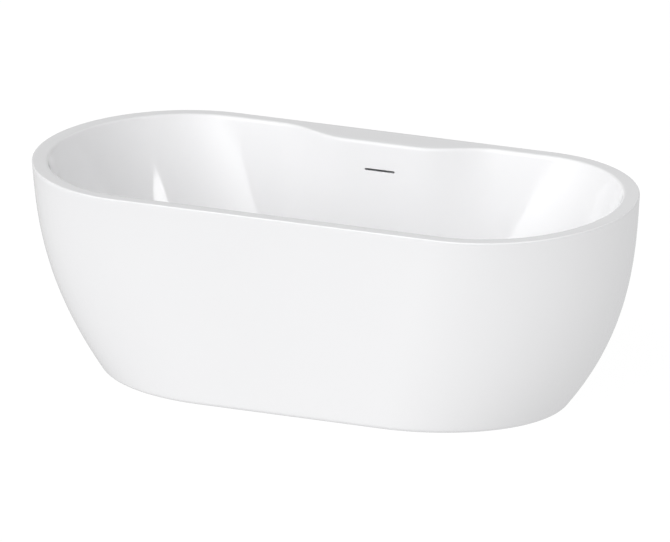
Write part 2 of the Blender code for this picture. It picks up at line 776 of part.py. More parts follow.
def make_spring():
    """A coil spring under the plunger."""
    curve = bpy.data.curves.new("click_spring", "CURVE")
    curve.dimensions = "3D"
    curve.bevel_depth = SPRING_WIRE
    curve.bevel_resolution = 0
    curve.use_fill_caps = True
    steps = 8 * SPRING_TURNS
    radius = PLUNGER_RADIUS - 2 * SPRING_WIRE
    spline = curve.splines.new("POLY")
    spline.points.add(steps)
    low = SPRING_BOTTOM + SPRING_WIRE
    rise = SPRING_LENGTH - 2 * SPRING_WIRE
    for i, point in enumerate(spline.points):
        angle = math.tau * SPRING_TURNS * i / steps
        point.co = (radius * math.cos(angle), radius * math.sin(angle), low + rise * i / steps, 1)
    place("click_spring", curve, ZINC)


def make_plug():
    """The cap, its seal and the plunger, which lift together."""
    axis = axis_empty("plug_axis", (0, 0, 0))
    bore = PLUNGER_RADIUS + FIT
    bore_top = CAP_UNDER + CAP_SOCKET
    boss_bottom = CAP_UNDER - CAP_BOSS_LENGTH
    crown = CAP_UNDER + CAP_EDGE + CAP_CROWN
    cap = [(0, crown)]
    for i in range(1, 6):
        angle = math.radians(18 * i)
        cap.append(
            (CAP_RADIUS * math.sin(angle), CAP_UNDER + CAP_EDGE + CAP_CROWN * math.cos(angle))
        )
    cap += [
        (CAP_RADIUS, CAP_UNDER + CAP_ROUND), (CAP_RADIUS - CAP_ROUND, CAP_UNDER),
        (CAP_BOSS_RADIUS, CAP_UNDER), (CAP_BOSS_RADIUS, boss_bottom), (bore, boss_bottom),
        (bore, bore_top), (0, bore_top),
    ]
    turned("drain_cap", cap, CHROME, ring=False, steps=24, parent=axis)
    seal = washer(
        "cap_seal", CAP_BOSS_RADIUS + FIT, CAP_SEAL_RADIUS, CAP_SEAL_BOTTOM, CAP_SEAL_THICKNESS, RUBBER
    )
    seal.parent = axis
    top = bore_top - FIT
    plunger = [
        (0, top), (PLUNGER_RADIUS, top), (PLUNGER_RADIUS, PLUNGER_BOTTOM), (0, PLUNGER_BOTTOM),
    ]
    turned("cap_plunger", plunger, CHROME, ring=False, steps=16, parent=axis)


def make_shoe():
    """The shoe under the floor, which the flange's barrel screws into and the overflow joins."""
    flange_bottom = SHOE_TOP - SHOE_FLANGE
    bore = BARREL_RADIUS + FIT
    floor = CHAMBER_BOTTOM + SHOE_FLOOR
    cone_end = CHAMBER_BOTTOM - OUTLET_CONE
    points = [
        (bore, SHOE_TOP), (WASHER_RADIUS, SHOE_TOP), (WASHER_RADIUS, flange_bottom),
        (SHOE_RADIUS, flange_bottom), (SHOE_RADIUS, CHAMBER_BOTTOM), (OUTLET_RADIUS, cone_end),
        (OUTLET_RADIUS, OUTLET_BOTTOM), (OUTLET_BORE, OUTLET_BOTTOM), (OUTLET_BORE, cone_end),
        (bore, floor),
    ]
    shoe = turned("drain_shoe", points, BLACK_PLASTIC, steps=24)
    along_y = Matrix.Rotation(-math.pi / 2, 4, "X")
    centre = (0, 0, SPIGOT_HEIGHT)
    start = (bore + SHOE_RADIUS) / 2
    end = SHOE_RADIUS + SPIGOT_LENGTH
    spigot = prism_mesh(SPIGOT_RADIUS, start, end, 16, along_y)
    boolean(shoe, helper("shoe_spigot", spigot, centre), "UNION")
    way = prism_mesh(SPIGOT_BORE, bore / 2, 2 * end, 16, along_y)
    boolean(shoe, helper("shoe_spigot_bore", way, centre))


def make_tail():
    washer(
        "slip_washer", OUTLET_BORE, TAIL_FLANGE_RADIUS, SLIP_WASHER_TOP - SLIP_WASHER, SLIP_WASHER,
        RUBBER,
    )
    under = TAIL_TOP - TAIL_FLANGE
    tail = [
        (TAIL_BORE, TAIL_TOP), (TAIL_FLANGE_RADIUS, TAIL_TOP), (TAIL_FLANGE_RADIUS, under),
        (TAIL_RADIUS, under), (TAIL_RADIUS, TAIL_END), (TAIL_BORE, TAIL_END),
    ]
    turned("tailpiece", tail, CHROME)
    top = SLIP_NUT_BOTTOM + SLIP_NUT_HEIGHT
    thread = OUTLET_RADIUS + FIT
    neck = TAIL_RADIUS + FIT
    lip = SLIP_NUT_BOTTOM + SLIP_NUT_LIP
    nut = [
        (thread, top), (SLIP_NUT_RADIUS, top), (SLIP_NUT_RADIUS, SLIP_NUT_BOTTOM),
        (neck, SLIP_NUT_BOTTOM), (neck, lip), (thread, lip),
    ]
    turned("slip_nut", nut, BLACK_PLASTIC)


def make_drain():
    make_flange()
    washer(
        "flange_seal", BARREL_RADIUS + FIT, FLANGE_RADIUS - FLANGE_EDGE, SEAT + FIT, SEAL_THICKNESS,
        RUBBER,
    )
    make_cartridge()
    make_spring()
    make_plug()
    washer(
        "floor_washer", BARREL_RADIUS + FIT, WASHER_RADIUS, WASHER_TOP - WASHER_THICKNESS,
        WASHER_THICKNESS, RUBBER,
    )
    make_shoe()
    make_tail()


# Overflow


def tube_mesh(curve, name):
    """The skin of a bevelled curve as a mesh, without its ends."""
    source = bpy.data.objects.new(name, curve)
    CUTTERS.objects.link(source)
    bpy.context.view_layer.update()
    mesh = bpy.data.meshes.new_from_object(source.evaluated_get(bpy.context.evaluated_depsgraph_get()))
    bpy.data.objects.remove(source)
    return mesh


def make_hose(top):
    """The overflow hose, from its grip on the box's spigot to its grip on the shoe's."""
    curve = bpy.data.curves.new("overflow_hose", "CURVE")
    curve.dimensions = "3D"
    curve.bevel_depth = HOSE_RADIUS
    curve.bevel_resolution = 2
    curve.resolution_u = 4
    end = SHOE_RADIUS + SPIGOT_LENGTH - HOSE_GRIP
    down = Vector((0, -math.sin(WALL_LEAN), -math.cos(WALL_LEAN)))
    grip_end = top + HOSE_GRIP * down
    turn_y = skirt_inside(0, FLOOR_HEIGHT) - HOSE_OFFSET
    drop = grip_end.z - FLOOR_HEIGHT
    route = [top, grip_end]
    for share in (0.3, 0.65):
        z = grip_end.z - drop * share
        route.append(Vector((0, skirt_inside(0, z) - HOSE_OFFSET, z)))
    route += [
        Vector((0, turn_y, FLOOR_HEIGHT)),
        Vector((0, turn_y - 2.0 * HOSE_RADIUS, SPIGOT_HEIGHT + 1.2 * HOSE_RADIUS)),
        Vector((0, turn_y - 5.0 * HOSE_RADIUS, SPIGOT_HEIGHT)),
        Vector((0, end + HOSE_GRIP, SPIGOT_HEIGHT)),
        Vector((0, end, SPIGOT_HEIGHT)),
    ]
    spline = curve.splines.new("BEZIER")
    spline.bezier_points.add(len(route) - 1)
    points = spline.bezier_points
    for point, co in zip(points, route):
        point.co = co
        point.handle_left_type = point.handle_right_type = "AUTO"
    # The two grips are straight, in line with their spigots
    for gripped, along in ((points[:2], down), (points[-2:], Vector((0, -1, 0)))):
        for point in gripped:
            point.handle_left_type = point.handle_right_type = "FREE"
            point.handle_left = point.co - along * HOSE_GRIP / 3
            point.handle_right = point.co + along * HOSE_GRIP / 3
    hose = place("overflow_hose", tube_mesh(curve, "hose_route"), GREY_PLASTIC)
    thicken(hose, HOSE_WALL)


def make_clip(name, location, turn_to=(0, 0, 0)):
    """A worm-drive clip: a band round the hose with the screw's housing on it."""
    inner = HOSE_RADIUS + FIT
    outer = inner + CLIP_BAND
    half = CLIP_WIDTH / 2
    points = [(inner, half), (outer, half), (outer, -half), (inner, -half)]
    clip = turned(name, points, ZINC, location=location)
    clip.rotation_euler = turn_to
    block = box_mesh(
        (inner + CLIP_BAND / 2, -CLIP_BLOCK, -half), (outer + CLIP_BLOCK, CLIP_BLOCK, half)
    )
    housing = helper(f"{name}_housing", block, location)
    housing.rotation_euler = turn_to
    boolean(clip, housing, "UNION")


def make_overflow():
    """Gasket and box on the back of the basin's wall, above the laminate, leaning as the wall does."""
    start = back_wall(SLOT_Z) + (BASIN_WALL + BOX_GAP) / math.cos(WALL_LEAN)
    frame = axis_empty("overflow_frame", (0, start, SLOT_Z), -WALL_LEAN)

    half_x = SLOT_WIDTH / 2 + GASKET_BORDER
    half_z = SLOT_HEIGHT / 2 + GASKET_BORDER
    hole_x = SLOT_WIDTH / 2 + SLOT_MARGIN
    hole_z = SLOT_HEIGHT / 2 + SLOT_MARGIN
    sheet = box_mesh((-half_x, 0, -half_z), (half_x, GASKET_THICKNESS, half_z))
    gasket = place("overflow_gasket", sheet, RUBBER, parent=frame)
    way = box_mesh((-hole_x, -1, -hole_z), (hole_x, 1, hole_z))
    boolean(gasket, helper("gasket_way", way, parent=frame))

    front = GASKET_THICKNESS + FIT
    back = front + BOX_DEPTH
    body = box_mesh((-half_x, front, -half_z), (half_x, back, half_z))
    box = place("overflow_box", body, GREY_PLASTIC, parent=frame)
    middle = (front + back) / 2
    spigot = prism_mesh(SPIGOT_RADIUS, -half_z - SPIGOT_LENGTH, -hole_z - BOX_WALL / 2, 16)
    boolean(box, helper("box_spigot", spigot, (0, middle, 0), frame), "UNION")
    hollow = box_mesh((-hole_x, 0, -hole_z), (hole_x, back - BOX_WALL, hole_z))
    boolean(box, helper("box_hollow", hollow, parent=frame))
    bore = prism_mesh(SPIGOT_BORE, -half_z - 2 * SPIGOT_LENGTH, 0, 16)
    boolean(box, helper("box_bore", bore, (0, middle, 0), frame))

    lean = Matrix.Rotation(-WALL_LEAN, 4, "X")
    origin = Vector((0, start, SLOT_Z))
    hose_top = origin + lean @ Vector((0, middle, -half_z - SPIGOT_LENGTH + HOSE_GRIP))
    make_hose(hose_top)
    clip_top = hose_top + lean @ Vector((0, 0, -HOSE_GRIP / 2))
    make_clip("hose_clip_top", clip_top, (-WALL_LEAN, 0, 0))
    clip_y = SHOE_RADIUS + SPIGOT_LENGTH - HOSE_GRIP / 2
    make_clip("hose_clip_bottom", (0, clip_y, SPIGOT_HEIGHT), (math.pi / 2, 0, 0))


make_basin()
make_skirt()
make_board()
make_frame()
make_board_screws()
make_skirt_brackets()
make_feet()
make_drain()
make_overflow()
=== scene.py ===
"""The looks of a freestanding acrylic bathtub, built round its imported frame.

Metres, +Z up. +X runs along the bath's length and +Y towards the faucet deck. The sections follow the
bath as it is put together: the two shells, what stiffens them, the feet, the drain and the overflow.
"""

import math

import bmesh
import bpy
from mathutils import Matrix, Vector
from mathutils.geometry import interpolate_bezier


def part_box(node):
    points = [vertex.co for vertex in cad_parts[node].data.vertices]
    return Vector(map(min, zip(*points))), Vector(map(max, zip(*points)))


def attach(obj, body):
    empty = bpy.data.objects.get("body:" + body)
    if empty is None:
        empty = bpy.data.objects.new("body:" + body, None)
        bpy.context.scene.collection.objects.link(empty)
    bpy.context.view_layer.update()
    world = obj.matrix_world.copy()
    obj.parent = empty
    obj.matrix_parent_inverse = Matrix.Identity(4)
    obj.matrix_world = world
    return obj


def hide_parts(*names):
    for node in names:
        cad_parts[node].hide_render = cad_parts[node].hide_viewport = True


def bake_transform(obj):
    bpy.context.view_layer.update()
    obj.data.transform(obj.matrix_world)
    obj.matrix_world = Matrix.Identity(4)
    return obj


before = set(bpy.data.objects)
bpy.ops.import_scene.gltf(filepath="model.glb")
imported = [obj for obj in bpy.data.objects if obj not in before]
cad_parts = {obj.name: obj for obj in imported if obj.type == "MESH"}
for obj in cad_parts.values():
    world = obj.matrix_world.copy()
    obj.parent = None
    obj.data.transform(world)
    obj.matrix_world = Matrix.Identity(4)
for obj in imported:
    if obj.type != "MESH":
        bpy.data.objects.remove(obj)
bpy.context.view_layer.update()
scene = bpy.context.scene


# ---- Camera ----
# A long lens a long way off, to the right of the bath's front and a little above it, so that level
# lines stay nearly parallel.

VIEW_AZIMUTH = math.radians(22.75)
VIEW_ELEVATION = math.radians(17.91)
VIEW_DISTANCE = 40.0
VIEW_CENTRE = Vector((0, 0, 0.3))
VIEW_SHIFT_RIGHT = 0.0007
VIEW_SHIFT_UP = 0.0188
LENS = 795.3

away = Vector((
    math.sin(VIEW_AZIMUTH) * math.cos(VIEW_ELEVATION),
    -math.cos(VIEW_AZIMUTH) * math.cos(VIEW_ELEVATION),
    math.sin(VIEW_ELEVATION),
))
rightwards = Vector((math.cos(VIEW_AZIMUTH), math.sin(VIEW_AZIMUTH), 0))
upwards = away.cross(rightwards)
camera = bpy.data.objects.new("camera", bpy.data.cameras.new("camera"))
camera.data.lens = LENS
camera.data.sensor_width = 36
camera.data.clip_end = 200
stand = VIEW_CENTRE + away * VIEW_DISTANCE + rightwards * VIEW_SHIFT_RIGHT + upwards * VIEW_SHIFT_UP
camera.matrix_world = Matrix((
    (rightwards.x, upwards.x, away.x, stand.x),
    (rightwards.y, upwards.y, away.y, stand.y),
    (rightwards.z, upwards.z, away.z, stand.z),
    (0, 0, 0, 1),
))
scene.collection.objects.link(camera)
scene.camera = camera


# ---- Studio ----
# A white floor that glows a little, so that only a faint shadow shows round the bath. The surround is
# grey and brightens softly towards the front left. A small round soft box at the right puts one clear
# patch on the inside of the left end. The floor throws no light on the bath.

FLOOR_RADIUS = 60.0
FLOOR_GLOW = 0.94
FLOOR_TONE = 0.10
SURROUND = 0.50
BOUNCE = 0.71
BOUNCE_RIGHT = 0.05
HORIZON = 0.24
KEY_DIRECTION = Vector((-0.35, -0.87, 0.30)).normalized()
KEY_FOCUS = 5.0
KEY_STRENGTH = 2.6
BOX_AIM = Vector((-0.642, 0.247, 0.427))
BOX_DIRECTION = (math.radians(62.6), math.radians(32.2))
BOX_DISTANCE = 5.0
BOX_SIZE = 1.05
BOX_POWER = 16


class Wire:
    """An output socket. Arithmetic on it adds Math nodes to its tree."""

    def __init__(self, nodes, socket):
        self.nodes = nodes
        self.socket = socket

    def math(self, operation, first, second):
        return self.nodes.add("ShaderNodeMath", {"operation": operation}, {0: first, 1: second})

    def __add__(self, other):
        return self.math("ADD", self, other)

    def __sub__(self, other):
        return self.math("SUBTRACT", self, other)

    def __rsub__(self, other):
        return self.math("SUBTRACT", other, self)

    def __mul__(self, other):
        return self.math("MULTIPLY", self, other)

    __radd__ = __add__
    __rmul__ = __mul__


class Nodes:
    """The node tree of a material or of the world."""

    def __init__(self, tree):
        self.tree = tree

    def feed(self, socket, value):
        if isinstance(value, Wire):
            self.tree.links.new(value.socket, socket)
        else:
            socket.default_value = value

    def add(self, kind, settings=None, sockets=None, output=0):
        """A new node: its settings first, then the values or wires of its sockets."""
        node = self.tree.nodes.new(kind)
        for name, value in (settings or {}).items():
            setattr(node, name, value)
        for name, value in (sockets or {}).items():
            self.feed(node.inputs[name], value)
        return Wire(self, node.outputs[output])


def new_tree(material):
    """An empty node tree and its output node."""
    material.use_nodes = True
    material.node_tree.nodes.clear()
    nodes = Nodes(material.node_tree)
    return nodes, material.node_tree.nodes.new("ShaderNodeOutputMaterial").inputs["Surface"]


floor_finish = bpy.data.materials.new("studio_floor")
nodes, surface = new_tree(floor_finish)
paper = nodes.add("ShaderNodeBsdfDiffuse", sockets={"Color": (FLOOR_TONE, FLOOR_TONE, FLOOR_TONE, 1)})
glow = nodes.add("ShaderNodeEmission", sockets={"Strength": FLOOR_GLOW})
lit = nodes.add("ShaderNodeAddShader", sockets={0: paper, 1: glow})
underside = nodes.add("ShaderNodeNewGeometry", output="Backfacing")
clear = nodes.add("ShaderNodeBsdfTransparent")
nodes.feed(surface, nodes.add("ShaderNodeMixShader", sockets={0: underside, 1: lit, 2: clear}))

bm = bmesh.new()
bmesh.ops.create_circle(bm, cap_ends=True, segments=64, radius=FLOOR_RADIUS)
floor = bpy.data.objects.new("studio_floor", bpy.data.meshes.new("studio_floor"))
bm.to_mesh(floor.data)
bm.free()
floor.data.materials.append(floor_finish)
floor.visible_diffuse = False
floor.visible_glossy = False
scene.collection.objects.link(floor)

scene.world = bpy.data.worlds.new("studio")
scene.world.use_nodes = True
scene.world.node_tree.nodes.clear()
nodes = Nodes(scene.world.node_tree)
direction = nodes.add("ShaderNodeTexCoord", output="Generated")
towards = nodes.add("ShaderNodeVectorMath", {"operation": "DOT_PRODUCT"}, {
    0: direction, 1: KEY_DIRECTION,
}, output=1)
towards = towards.math("MAXIMUM", towards, 0.0)
above = towards.math("POWER", towards, KEY_FOCUS) * KEY_STRENGTH + SURROUND
height = nodes.add("ShaderNodeSeparateXYZ", sockets={0: direction}, output=2)
side = nodes.add("ShaderNodeSeparateXYZ", sockets={0: direction}, output=0)
below = side * BOUNCE_RIGHT + BOUNCE
sky = nodes.add("ShaderNodeMapRange", {"interpolation_type": "SMOOTHSTEP"}, {
    "Value": height, "From Min": 0.0, "From Max": HORIZON,
})
level = (above - below) * sky + below
lighting = nodes.add("ShaderNodeBackground", sockets={"Color": (0.995, 0.995, 1.0, 1), "Strength": level})
white = nodes.add("ShaderNodeBackground", sockets={"Color": (1, 1, 1, 1)})
seen = nodes.add("ShaderNodeLightPath")
surround = nodes.add("ShaderNodeMixShader", sockets={0: seen, 1: lighting, 2: white})
world_output = scene.world.node_tree.nodes.new("ShaderNodeOutputWorld")
nodes.feed(world_output.inputs["Surface"], surround)


def direction_at(azimuth, elevation):
    """A direction from the bath: azimuth from the front towards the right, elevation above level."""
    level_part = math.cos(elevation)
    return Vector((
        math.sin(azimuth) * level_part, -math.cos(azimuth) * level_part, math.sin(elevation)
    ))


soft_box = bpy.data.lights.new("soft_box", "AREA")
soft_box.shape = "DISK"
soft_box.size = BOX_SIZE
soft_box.energy = BOX_POWER
box = bpy.data.objects.new("soft_box", soft_box)
box_way = direction_at(*BOX_DIRECTION)
box.location = BOX_AIM + box_way * BOX_DISTANCE
box.rotation_mode = "QUATERNION"
box.rotation_quaternion = box_way.to_track_quat("Z", "Y")
scene.collection.objects.link(box)
scene.view_settings.view_transform = "Standard"


# ---- Basin ----
# The basin, its rim and the faucet deck are one sheet of cast acrylic, drawn down hot over a mould and
# then trimmed. The overflow slot and the drain hole are cut in it afterwards.

BASIN_LOW, BASIN_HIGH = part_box("inner_basin")
LENGTH = BASIN_HIGH.x - BASIN_LOW.x
WIDTH = BASIN_HIGH.y - BASIN_LOW.y
HEIGHT = BASIN_HIGH.z
BASIN_WALL = 0.005
RIM_END = 0.042
RIM_SIDE = 0.037
RIM_STRAIGHT = 0.925
RIM_ROUND = 0.008
RIM_EDGE = 0.003
DECK_DEPTH = 0.066
DECK_FLAT = 0.210
DECK_SPAN = 0.640
FLOOR_HEIGHT = 0.150
FLOOR_STRAIGHT = 0.440
FLOOR_FALL = 0.004
END_SLOPE = 0.33
SIDE_SLOPE = 0.19
END_FILLET = 0.160
SIDE_FILLET = 0.110
FILLET_POWER = 2.6
RECESS_EDGE = 0.045
RECESS_RADIUS = 0.038
RECESS_DEPTH = 0.003
HOLE_RADIUS = 0.026
SLOT_DROP = 0.078
SLOT_WIDTH = 0.088
SLOT_HEIGHT = 0.006
SLOT_PATCH = 0.010
SLOT_EDGE = 0.0008
WALL_TOP = HEIGHT - RIM_ROUND
WALL_DEPTH = WALL_TOP - FLOOR_HEIGHT
SLOT_Z = HEIGHT - SLOT_DROP

END_STEPS = 80
BACK_STEPS = 112
FRONT_STEPS = 64
AROUND = 2 * END_STEPS + BACK_STEPS + FRONT_STEPS
WALL_LEVELS = 52
ANGLE_STEP = 10


def oval_point(step, length, width, straight):
    """A step round an oval with elliptical ends: right end, back, left end, front."""
    a, b, s = length / 2, width / 2, straight / 2
    if step <= END_STEPS:
        angle = math.pi * (step / END_STEPS - 0.5)
        return s + (a - s) * math.cos(angle), b * math.sin(angle)
    step -= END_STEPS
    if step < BACK_STEPS:
        return s * (1 - 2 * step / BACK_STEPS), b
    step -= BACK_STEPS
    if step <= END_STEPS:
        angle = math.pi * (step / END_STEPS - 0.5)
        return -s - (a - s) * math.cos(angle), -b * math.sin(angle)
    step -= END_STEPS
    return s * (2 * step / FRONT_STEPS - 1), -b


def deck_shape(x):
    """1 across the deck's flat middle, falling to 0 at its ends in an S-curve."""
    along = (abs(x) - DECK_FLAT / 2) / ((DECK_SPAN - DECK_FLAT) / 2)
    return 0.5 * (1 + math.cos(math.pi * min(max(along, 0), 1)))


def basin_point(step, end_inset, side_inset, straight, z, deck):
    x, y = oval_point(step, LENGTH - 2 * end_inset, WIDTH - 2 * side_inset, straight)
    if y > 0:
        y -= deck * deck_shape(x)
    return Vector((x, y, z))


def wall_inset(fraction, rim, slope, fillet):
    """How far in the wall is at a fraction of its depth: a slope that a superellipse rounds off."""
    rounding = 1 - (1 - fraction**FILLET_POWER) ** (1 / FILLET_POWER)
    return rim + RIM_ROUND / 2 + slope * WALL_DEPTH * fraction + fillet * rounding


def wall_point(step, fraction):
    return basin_point(
        step,
        wall_inset(fraction, RIM_END, END_SLOPE, END_FILLET),
        wall_inset(fraction, RIM_SIDE, SIDE_SLOPE, SIDE_FILLET),
        RIM_STRAIGHT + (FLOOR_STRAIGHT - RIM_STRAIGHT) * fraction,
        WALL_TOP - WALL_DEPTH * fraction,
        DECK_DEPTH * (1 - fraction),
    )


def back_wall(z):
    """Y of the wall's face behind the slot."""
    fraction = (WALL_TOP - z) / WALL_DEPTH
    inset = wall_inset(fraction, RIM_SIDE, SIDE_SLOPE, SIDE_FILLET)
    return WIDTH / 2 - inset - DECK_DEPTH * (1 - fraction)


def rim_rings():
    """The flat of the rim and the deck, and the round into the wall."""
    for share in (0, 0.12, 0.35, 0.6, 0.8, 1):
        ends, sides = (share * (rim - RIM_ROUND / 2) for rim in (RIM_END, RIM_SIDE))
        yield lambda step, e=ends, s=sides, d=share * DECK_DEPTH: basin_point(
            step, e, s, RIM_STRAIGHT, HEIGHT, d
        )
    for degrees in range(ANGLE_STEP, 80, ANGLE_STEP):
        angle = math.radians(degrees)
        inset = RIM_ROUND * (math.sin(angle) - 0.5)
        z = WALL_TOP + RIM_ROUND * math.cos(angle)
        yield lambda step, i=inset, z=z: basin_point(
            step, RIM_END + i, RIM_SIDE + i, RIM_STRAIGHT, z, DECK_DEPTH
        )


def wall_fractions(top):
    """Levels that crowd towards the floor, with close ones at the slot."""
    slot = (WALL_TOP - SLOT_Z) / WALL_DEPTH
    patch = 1.3 * SLOT_PATCH / WALL_DEPTH
    crowded = [1 - (1 - level / WALL_LEVELS) ** 2 for level in range(1, WALL_LEVELS + 1)]
    near_top = [0.006, 0.016]
    at_slot = [slot + patch * (i / 5 - 1) for i in range(11)]
    levels = near_top + [f for f in crowded if abs(f - slot) > 1.25 * patch] + at_slot
    return sorted(f for f in levels if f >= top)


def wall_and_floor_rings(top=0.0):
    for fraction in wall_fractions(top):
        yield lambda step, f=fraction: wall_point(step, f)
    low = FLOOR_HEIGHT - FLOOR_FALL

    def circle(step, radius, z):
        edge = wall_point(step, 1)
        return Vector((edge.x, edge.y, 0)).normalized() * radius + Vector((0, 0, z))

    for share in (0.04, 0.1, 0.2, 0.32, 0.45, 0.58, 0.7, 0.8, 0.88, 0.94, 1):
        yield lambda step, s=share: wall_point(step, 1).lerp(circle(step, RECESS_EDGE, low), s)
    for share in (0.25, 0.5, 0.75, 1):
        radius = RECESS_EDGE + (RECESS_RADIUS - RECESS_EDGE) * share
        z = low - RECESS_DEPTH * 0.5 * (1 - math.cos(math.pi * share))
        yield lambda step, r=radius, z=z: circle(step, r, z)
    yield lambda step: circle(step, (RECESS_RADIUS + HOLE_RADIUS) / 2, low - RECESS_DEPTH)
    yield lambda step: circle(step, HOLE_RADIUS, low - RECESS_DEPTH)


def draw_out(bm, edges):
    """Extrudes open edges where they are. Returns the new points and the new edges between them."""
    made = bmesh.ops.extrude_edge_only(bm, edges=edges)["geom"]
    verts = {part for part in made if isinstance(part, bmesh.types.BMVert)}
    return verts, [
        part for part in made if isinstance(part, bmesh.types.BMEdge) and verts.issuperset(part.verts)
    ]


def stack_rings(count, rings):
    """A skin through rings of points, each extruded from the one before. It has a step layer."""
    bm = bmesh.new()
    step = bm.verts.layers.int.new("step")
    verts = bmesh.ops.create_circle(bm, segments=count, radius=1)["verts"]
    edges = list(bm.edges)
    for number, vert in enumerate(verts):
        vert[step] = number
    for number, ring in enumerate(rings):
        if number:
            verts, edges = draw_out(bm, edges)
        for vert in verts:
            vert.co = ring(vert[step])
    bm.normal_update()
    return bm


def face_up(bm):
    """Turns a skin's faces towards the bather."""
    if sum(face.normal.z for face in bm.faces) < 0:
        bmesh.ops.reverse_faces(bm, faces=bm.faces)
    bm.normal_update()


def sharp_edges(bm, least=50):
    return [e for e in bm.edges if e.is_manifold and e.calc_face_angle() > math.radians(least)]


def ease(bm, edges, width, segments=3):
    bmesh.ops.bevel(
        bm, geom=edges, offset=width, segments=segments, profile=0.5, affect="EDGES", material=-1
    )


def put(bm, name, body, look, replaced, least=30):
    """The finished mesh as an object at the origin, riding on its body for the nodes it stands for."""
    mesh = bpy.data.meshes.new(name)
    bm.to_mesh(mesh)
    bm.free()
    mesh.shade_smooth()
    mesh.set_sharp_from_angle(angle=math.radians(least))
    mesh.materials.append(look)
    obj = bpy.data.objects.new(name, mesh)
    scene.collection.objects.link(obj)
    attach(obj, body)
    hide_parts(*replaced)


def new_look(name, **sockets):
    """A Principled material. The sockets named here are the same all over.

    It comes back with its nodes, the place on the piece and the sockets that patterns feed.
    """
    material = bpy.data.materials.new(name)
    material.use_nodes = True
    shader = material.node_tree.nodes["Principled BSDF"]
    for socket, value in sockets.items():
        shader.inputs[socket.replace("_", " ")].default_value = value
    nodes = Nodes(material.node_tree)
    return material, nodes, nodes.add("ShaderNodeTexCoord", output="Object"), shader.inputs


def blend_colours(nodes, factor, low, high):
    colours = {0: factor, 6: low, 7: high}
    return nodes.add("ShaderNodeMix", {"data_type": "RGBA"}, colours, output=2)


def noise_at(nodes, coordinates, scale, detail=3.0):
    sockets = {"Vector": coordinates, "Scale": scale, "Detail": detail}
    return nodes.add("ShaderNodeTexNoise", sockets=sockets)


def bump(nodes, strength, distance, height):
    sockets = {"Strength": strength, "Distance": distance, "Height": height}
    return nodes.add("ShaderNodeBump", sockets=sockets)


# White acrylic: a deep gloss with the faintest orange peel, and a film of polish that dulls it in patches
acrylic, nodes, place, sockets = new_look(
    "white_acrylic", IOR=1.49, Coat_Weight=0.2, Coat_Roughness=0.02, Coat_IOR=1.5
)
clouds = noise_at(nodes, place, 2.2)
nodes.feed(sockets["Base Color"], blend_colours(
    nodes, clouds, (0.905, 0.905, 0.912, 1), (0.935, 0.935, 0.938, 1)
))
smears = noise_at(nodes, place, 14.0, 5.0)
nodes.feed(sockets["Roughness"], smears * 0.05 + 0.045)
peel = noise_at(nodes, place, 260.0, 1.0)
nodes.feed(sockets["Normal"], bump(nodes, 0.05, 0.0002, peel))


def cut_slot(bm):
    """Opens a patch of the back wall and draws its edge in to the slot's outline, on the wall's face."""
    step = bm.verts.layers.int["step"]
    half = SLOT_WIDTH / 2 - SLOT_HEIGHT / 2
    patch = []
    for face in bm.faces:
        middle = face.calc_center_median()
        if (
            middle.y > 0
            and abs(middle.x) < SLOT_WIDTH / 2 + SLOT_PATCH
            and abs(middle.z - SLOT_Z) < SLOT_PATCH
        ):
            patch.append(face)
    outline = {edge for face in patch for edge in face.edges}
    outline = [edge for edge in outline if any(face not in patch for face in edge.link_faces)]
    bmesh.ops.delete(bm, geom=patch, context="FACES")
    for margin in (SLOT_PATCH / 2, 2.5 * SLOT_EDGE, 0):
        verts, outline = draw_out(bm, outline)
        for vert in verts:
            near_x = min(max(vert.co.x, -half), half)
            reach = Vector((vert.co.x - near_x, 0, vert.co.z - SLOT_Z)).normalized()
            vert.co = Vector((near_x, 0, SLOT_Z)) + reach * (SLOT_HEIGHT / 2 + margin)
            vert.co.y = back_wall(vert.co.z)
            vert[step] = 0


bm = stack_rings(AROUND, [*rim_rings(), *wall_and_floor_rings()])
face_up(bm)
cut_slot(bm)
bm.normal_update()
bmesh.ops.solidify(bm, geom=bm.faces, thickness=BASIN_WALL)
bm.normal_update()


def touching(edges, test):
    return [edge for edge in edges if all(test(vert.co) for vert in edge.verts)]


sharp = sharp_edges(bm)
rim_top = touching(sharp, lambda p: abs(p.z - HEIGHT) < 0.0001 and p.length > 0.4)
slot_front = touching(
    sharp, lambda p: abs(p.z - SLOT_Z) < SLOT_HEIGHT and abs(p.y - back_wall(p.z)) < 0.1 * BASIN_WALL
)
hole_top = FLOOR_HEIGHT - FLOOR_FALL - RECESS_DEPTH - 0.001
drain_top = touching(sharp, lambda p: p.length < 0.2 and p.z > hole_top)
ease(bm, rim_top, RIM_EDGE, 4)
ease(bm, slot_front, SLOT_EDGE, 3)
ease(bm, drain_top, SLOT_EDGE, 2)
put(bm, "bath_basin", "bath", acrylic, ["inner_basin"], 50)


# ---- Skirt ----
# The outer shell is a second acrylic sheet. A flange along its top is bonded under the rim, and a lip
# along its foot turns in over the floor, with a hole for each bracket's screw.

SKIRT_LOW, SKIRT_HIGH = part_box("outer_skirt")
BASE_LENGTH = 1.310
BASE_WIDTH = 0.646
BASE_STRAIGHT = 0.530
END_FLARE = 2.5
SIDE_FLARE = 0.94
FLOOR_GAP = SKIRT_LOW.z
SKIRT_TOP = SKIRT_HIGH.z
SKIRT_WALL = 0.004
SKIRT_FOOT_RADIUS = 0.012
SKIRT_LIP = 0.022
SKIRT_FLANGE = 0.022
SKIRT_LEVELS = 56
SKIRT_TOP_EDGE = 0.0004
LIP_HOLE_RADIUS = 0.0027


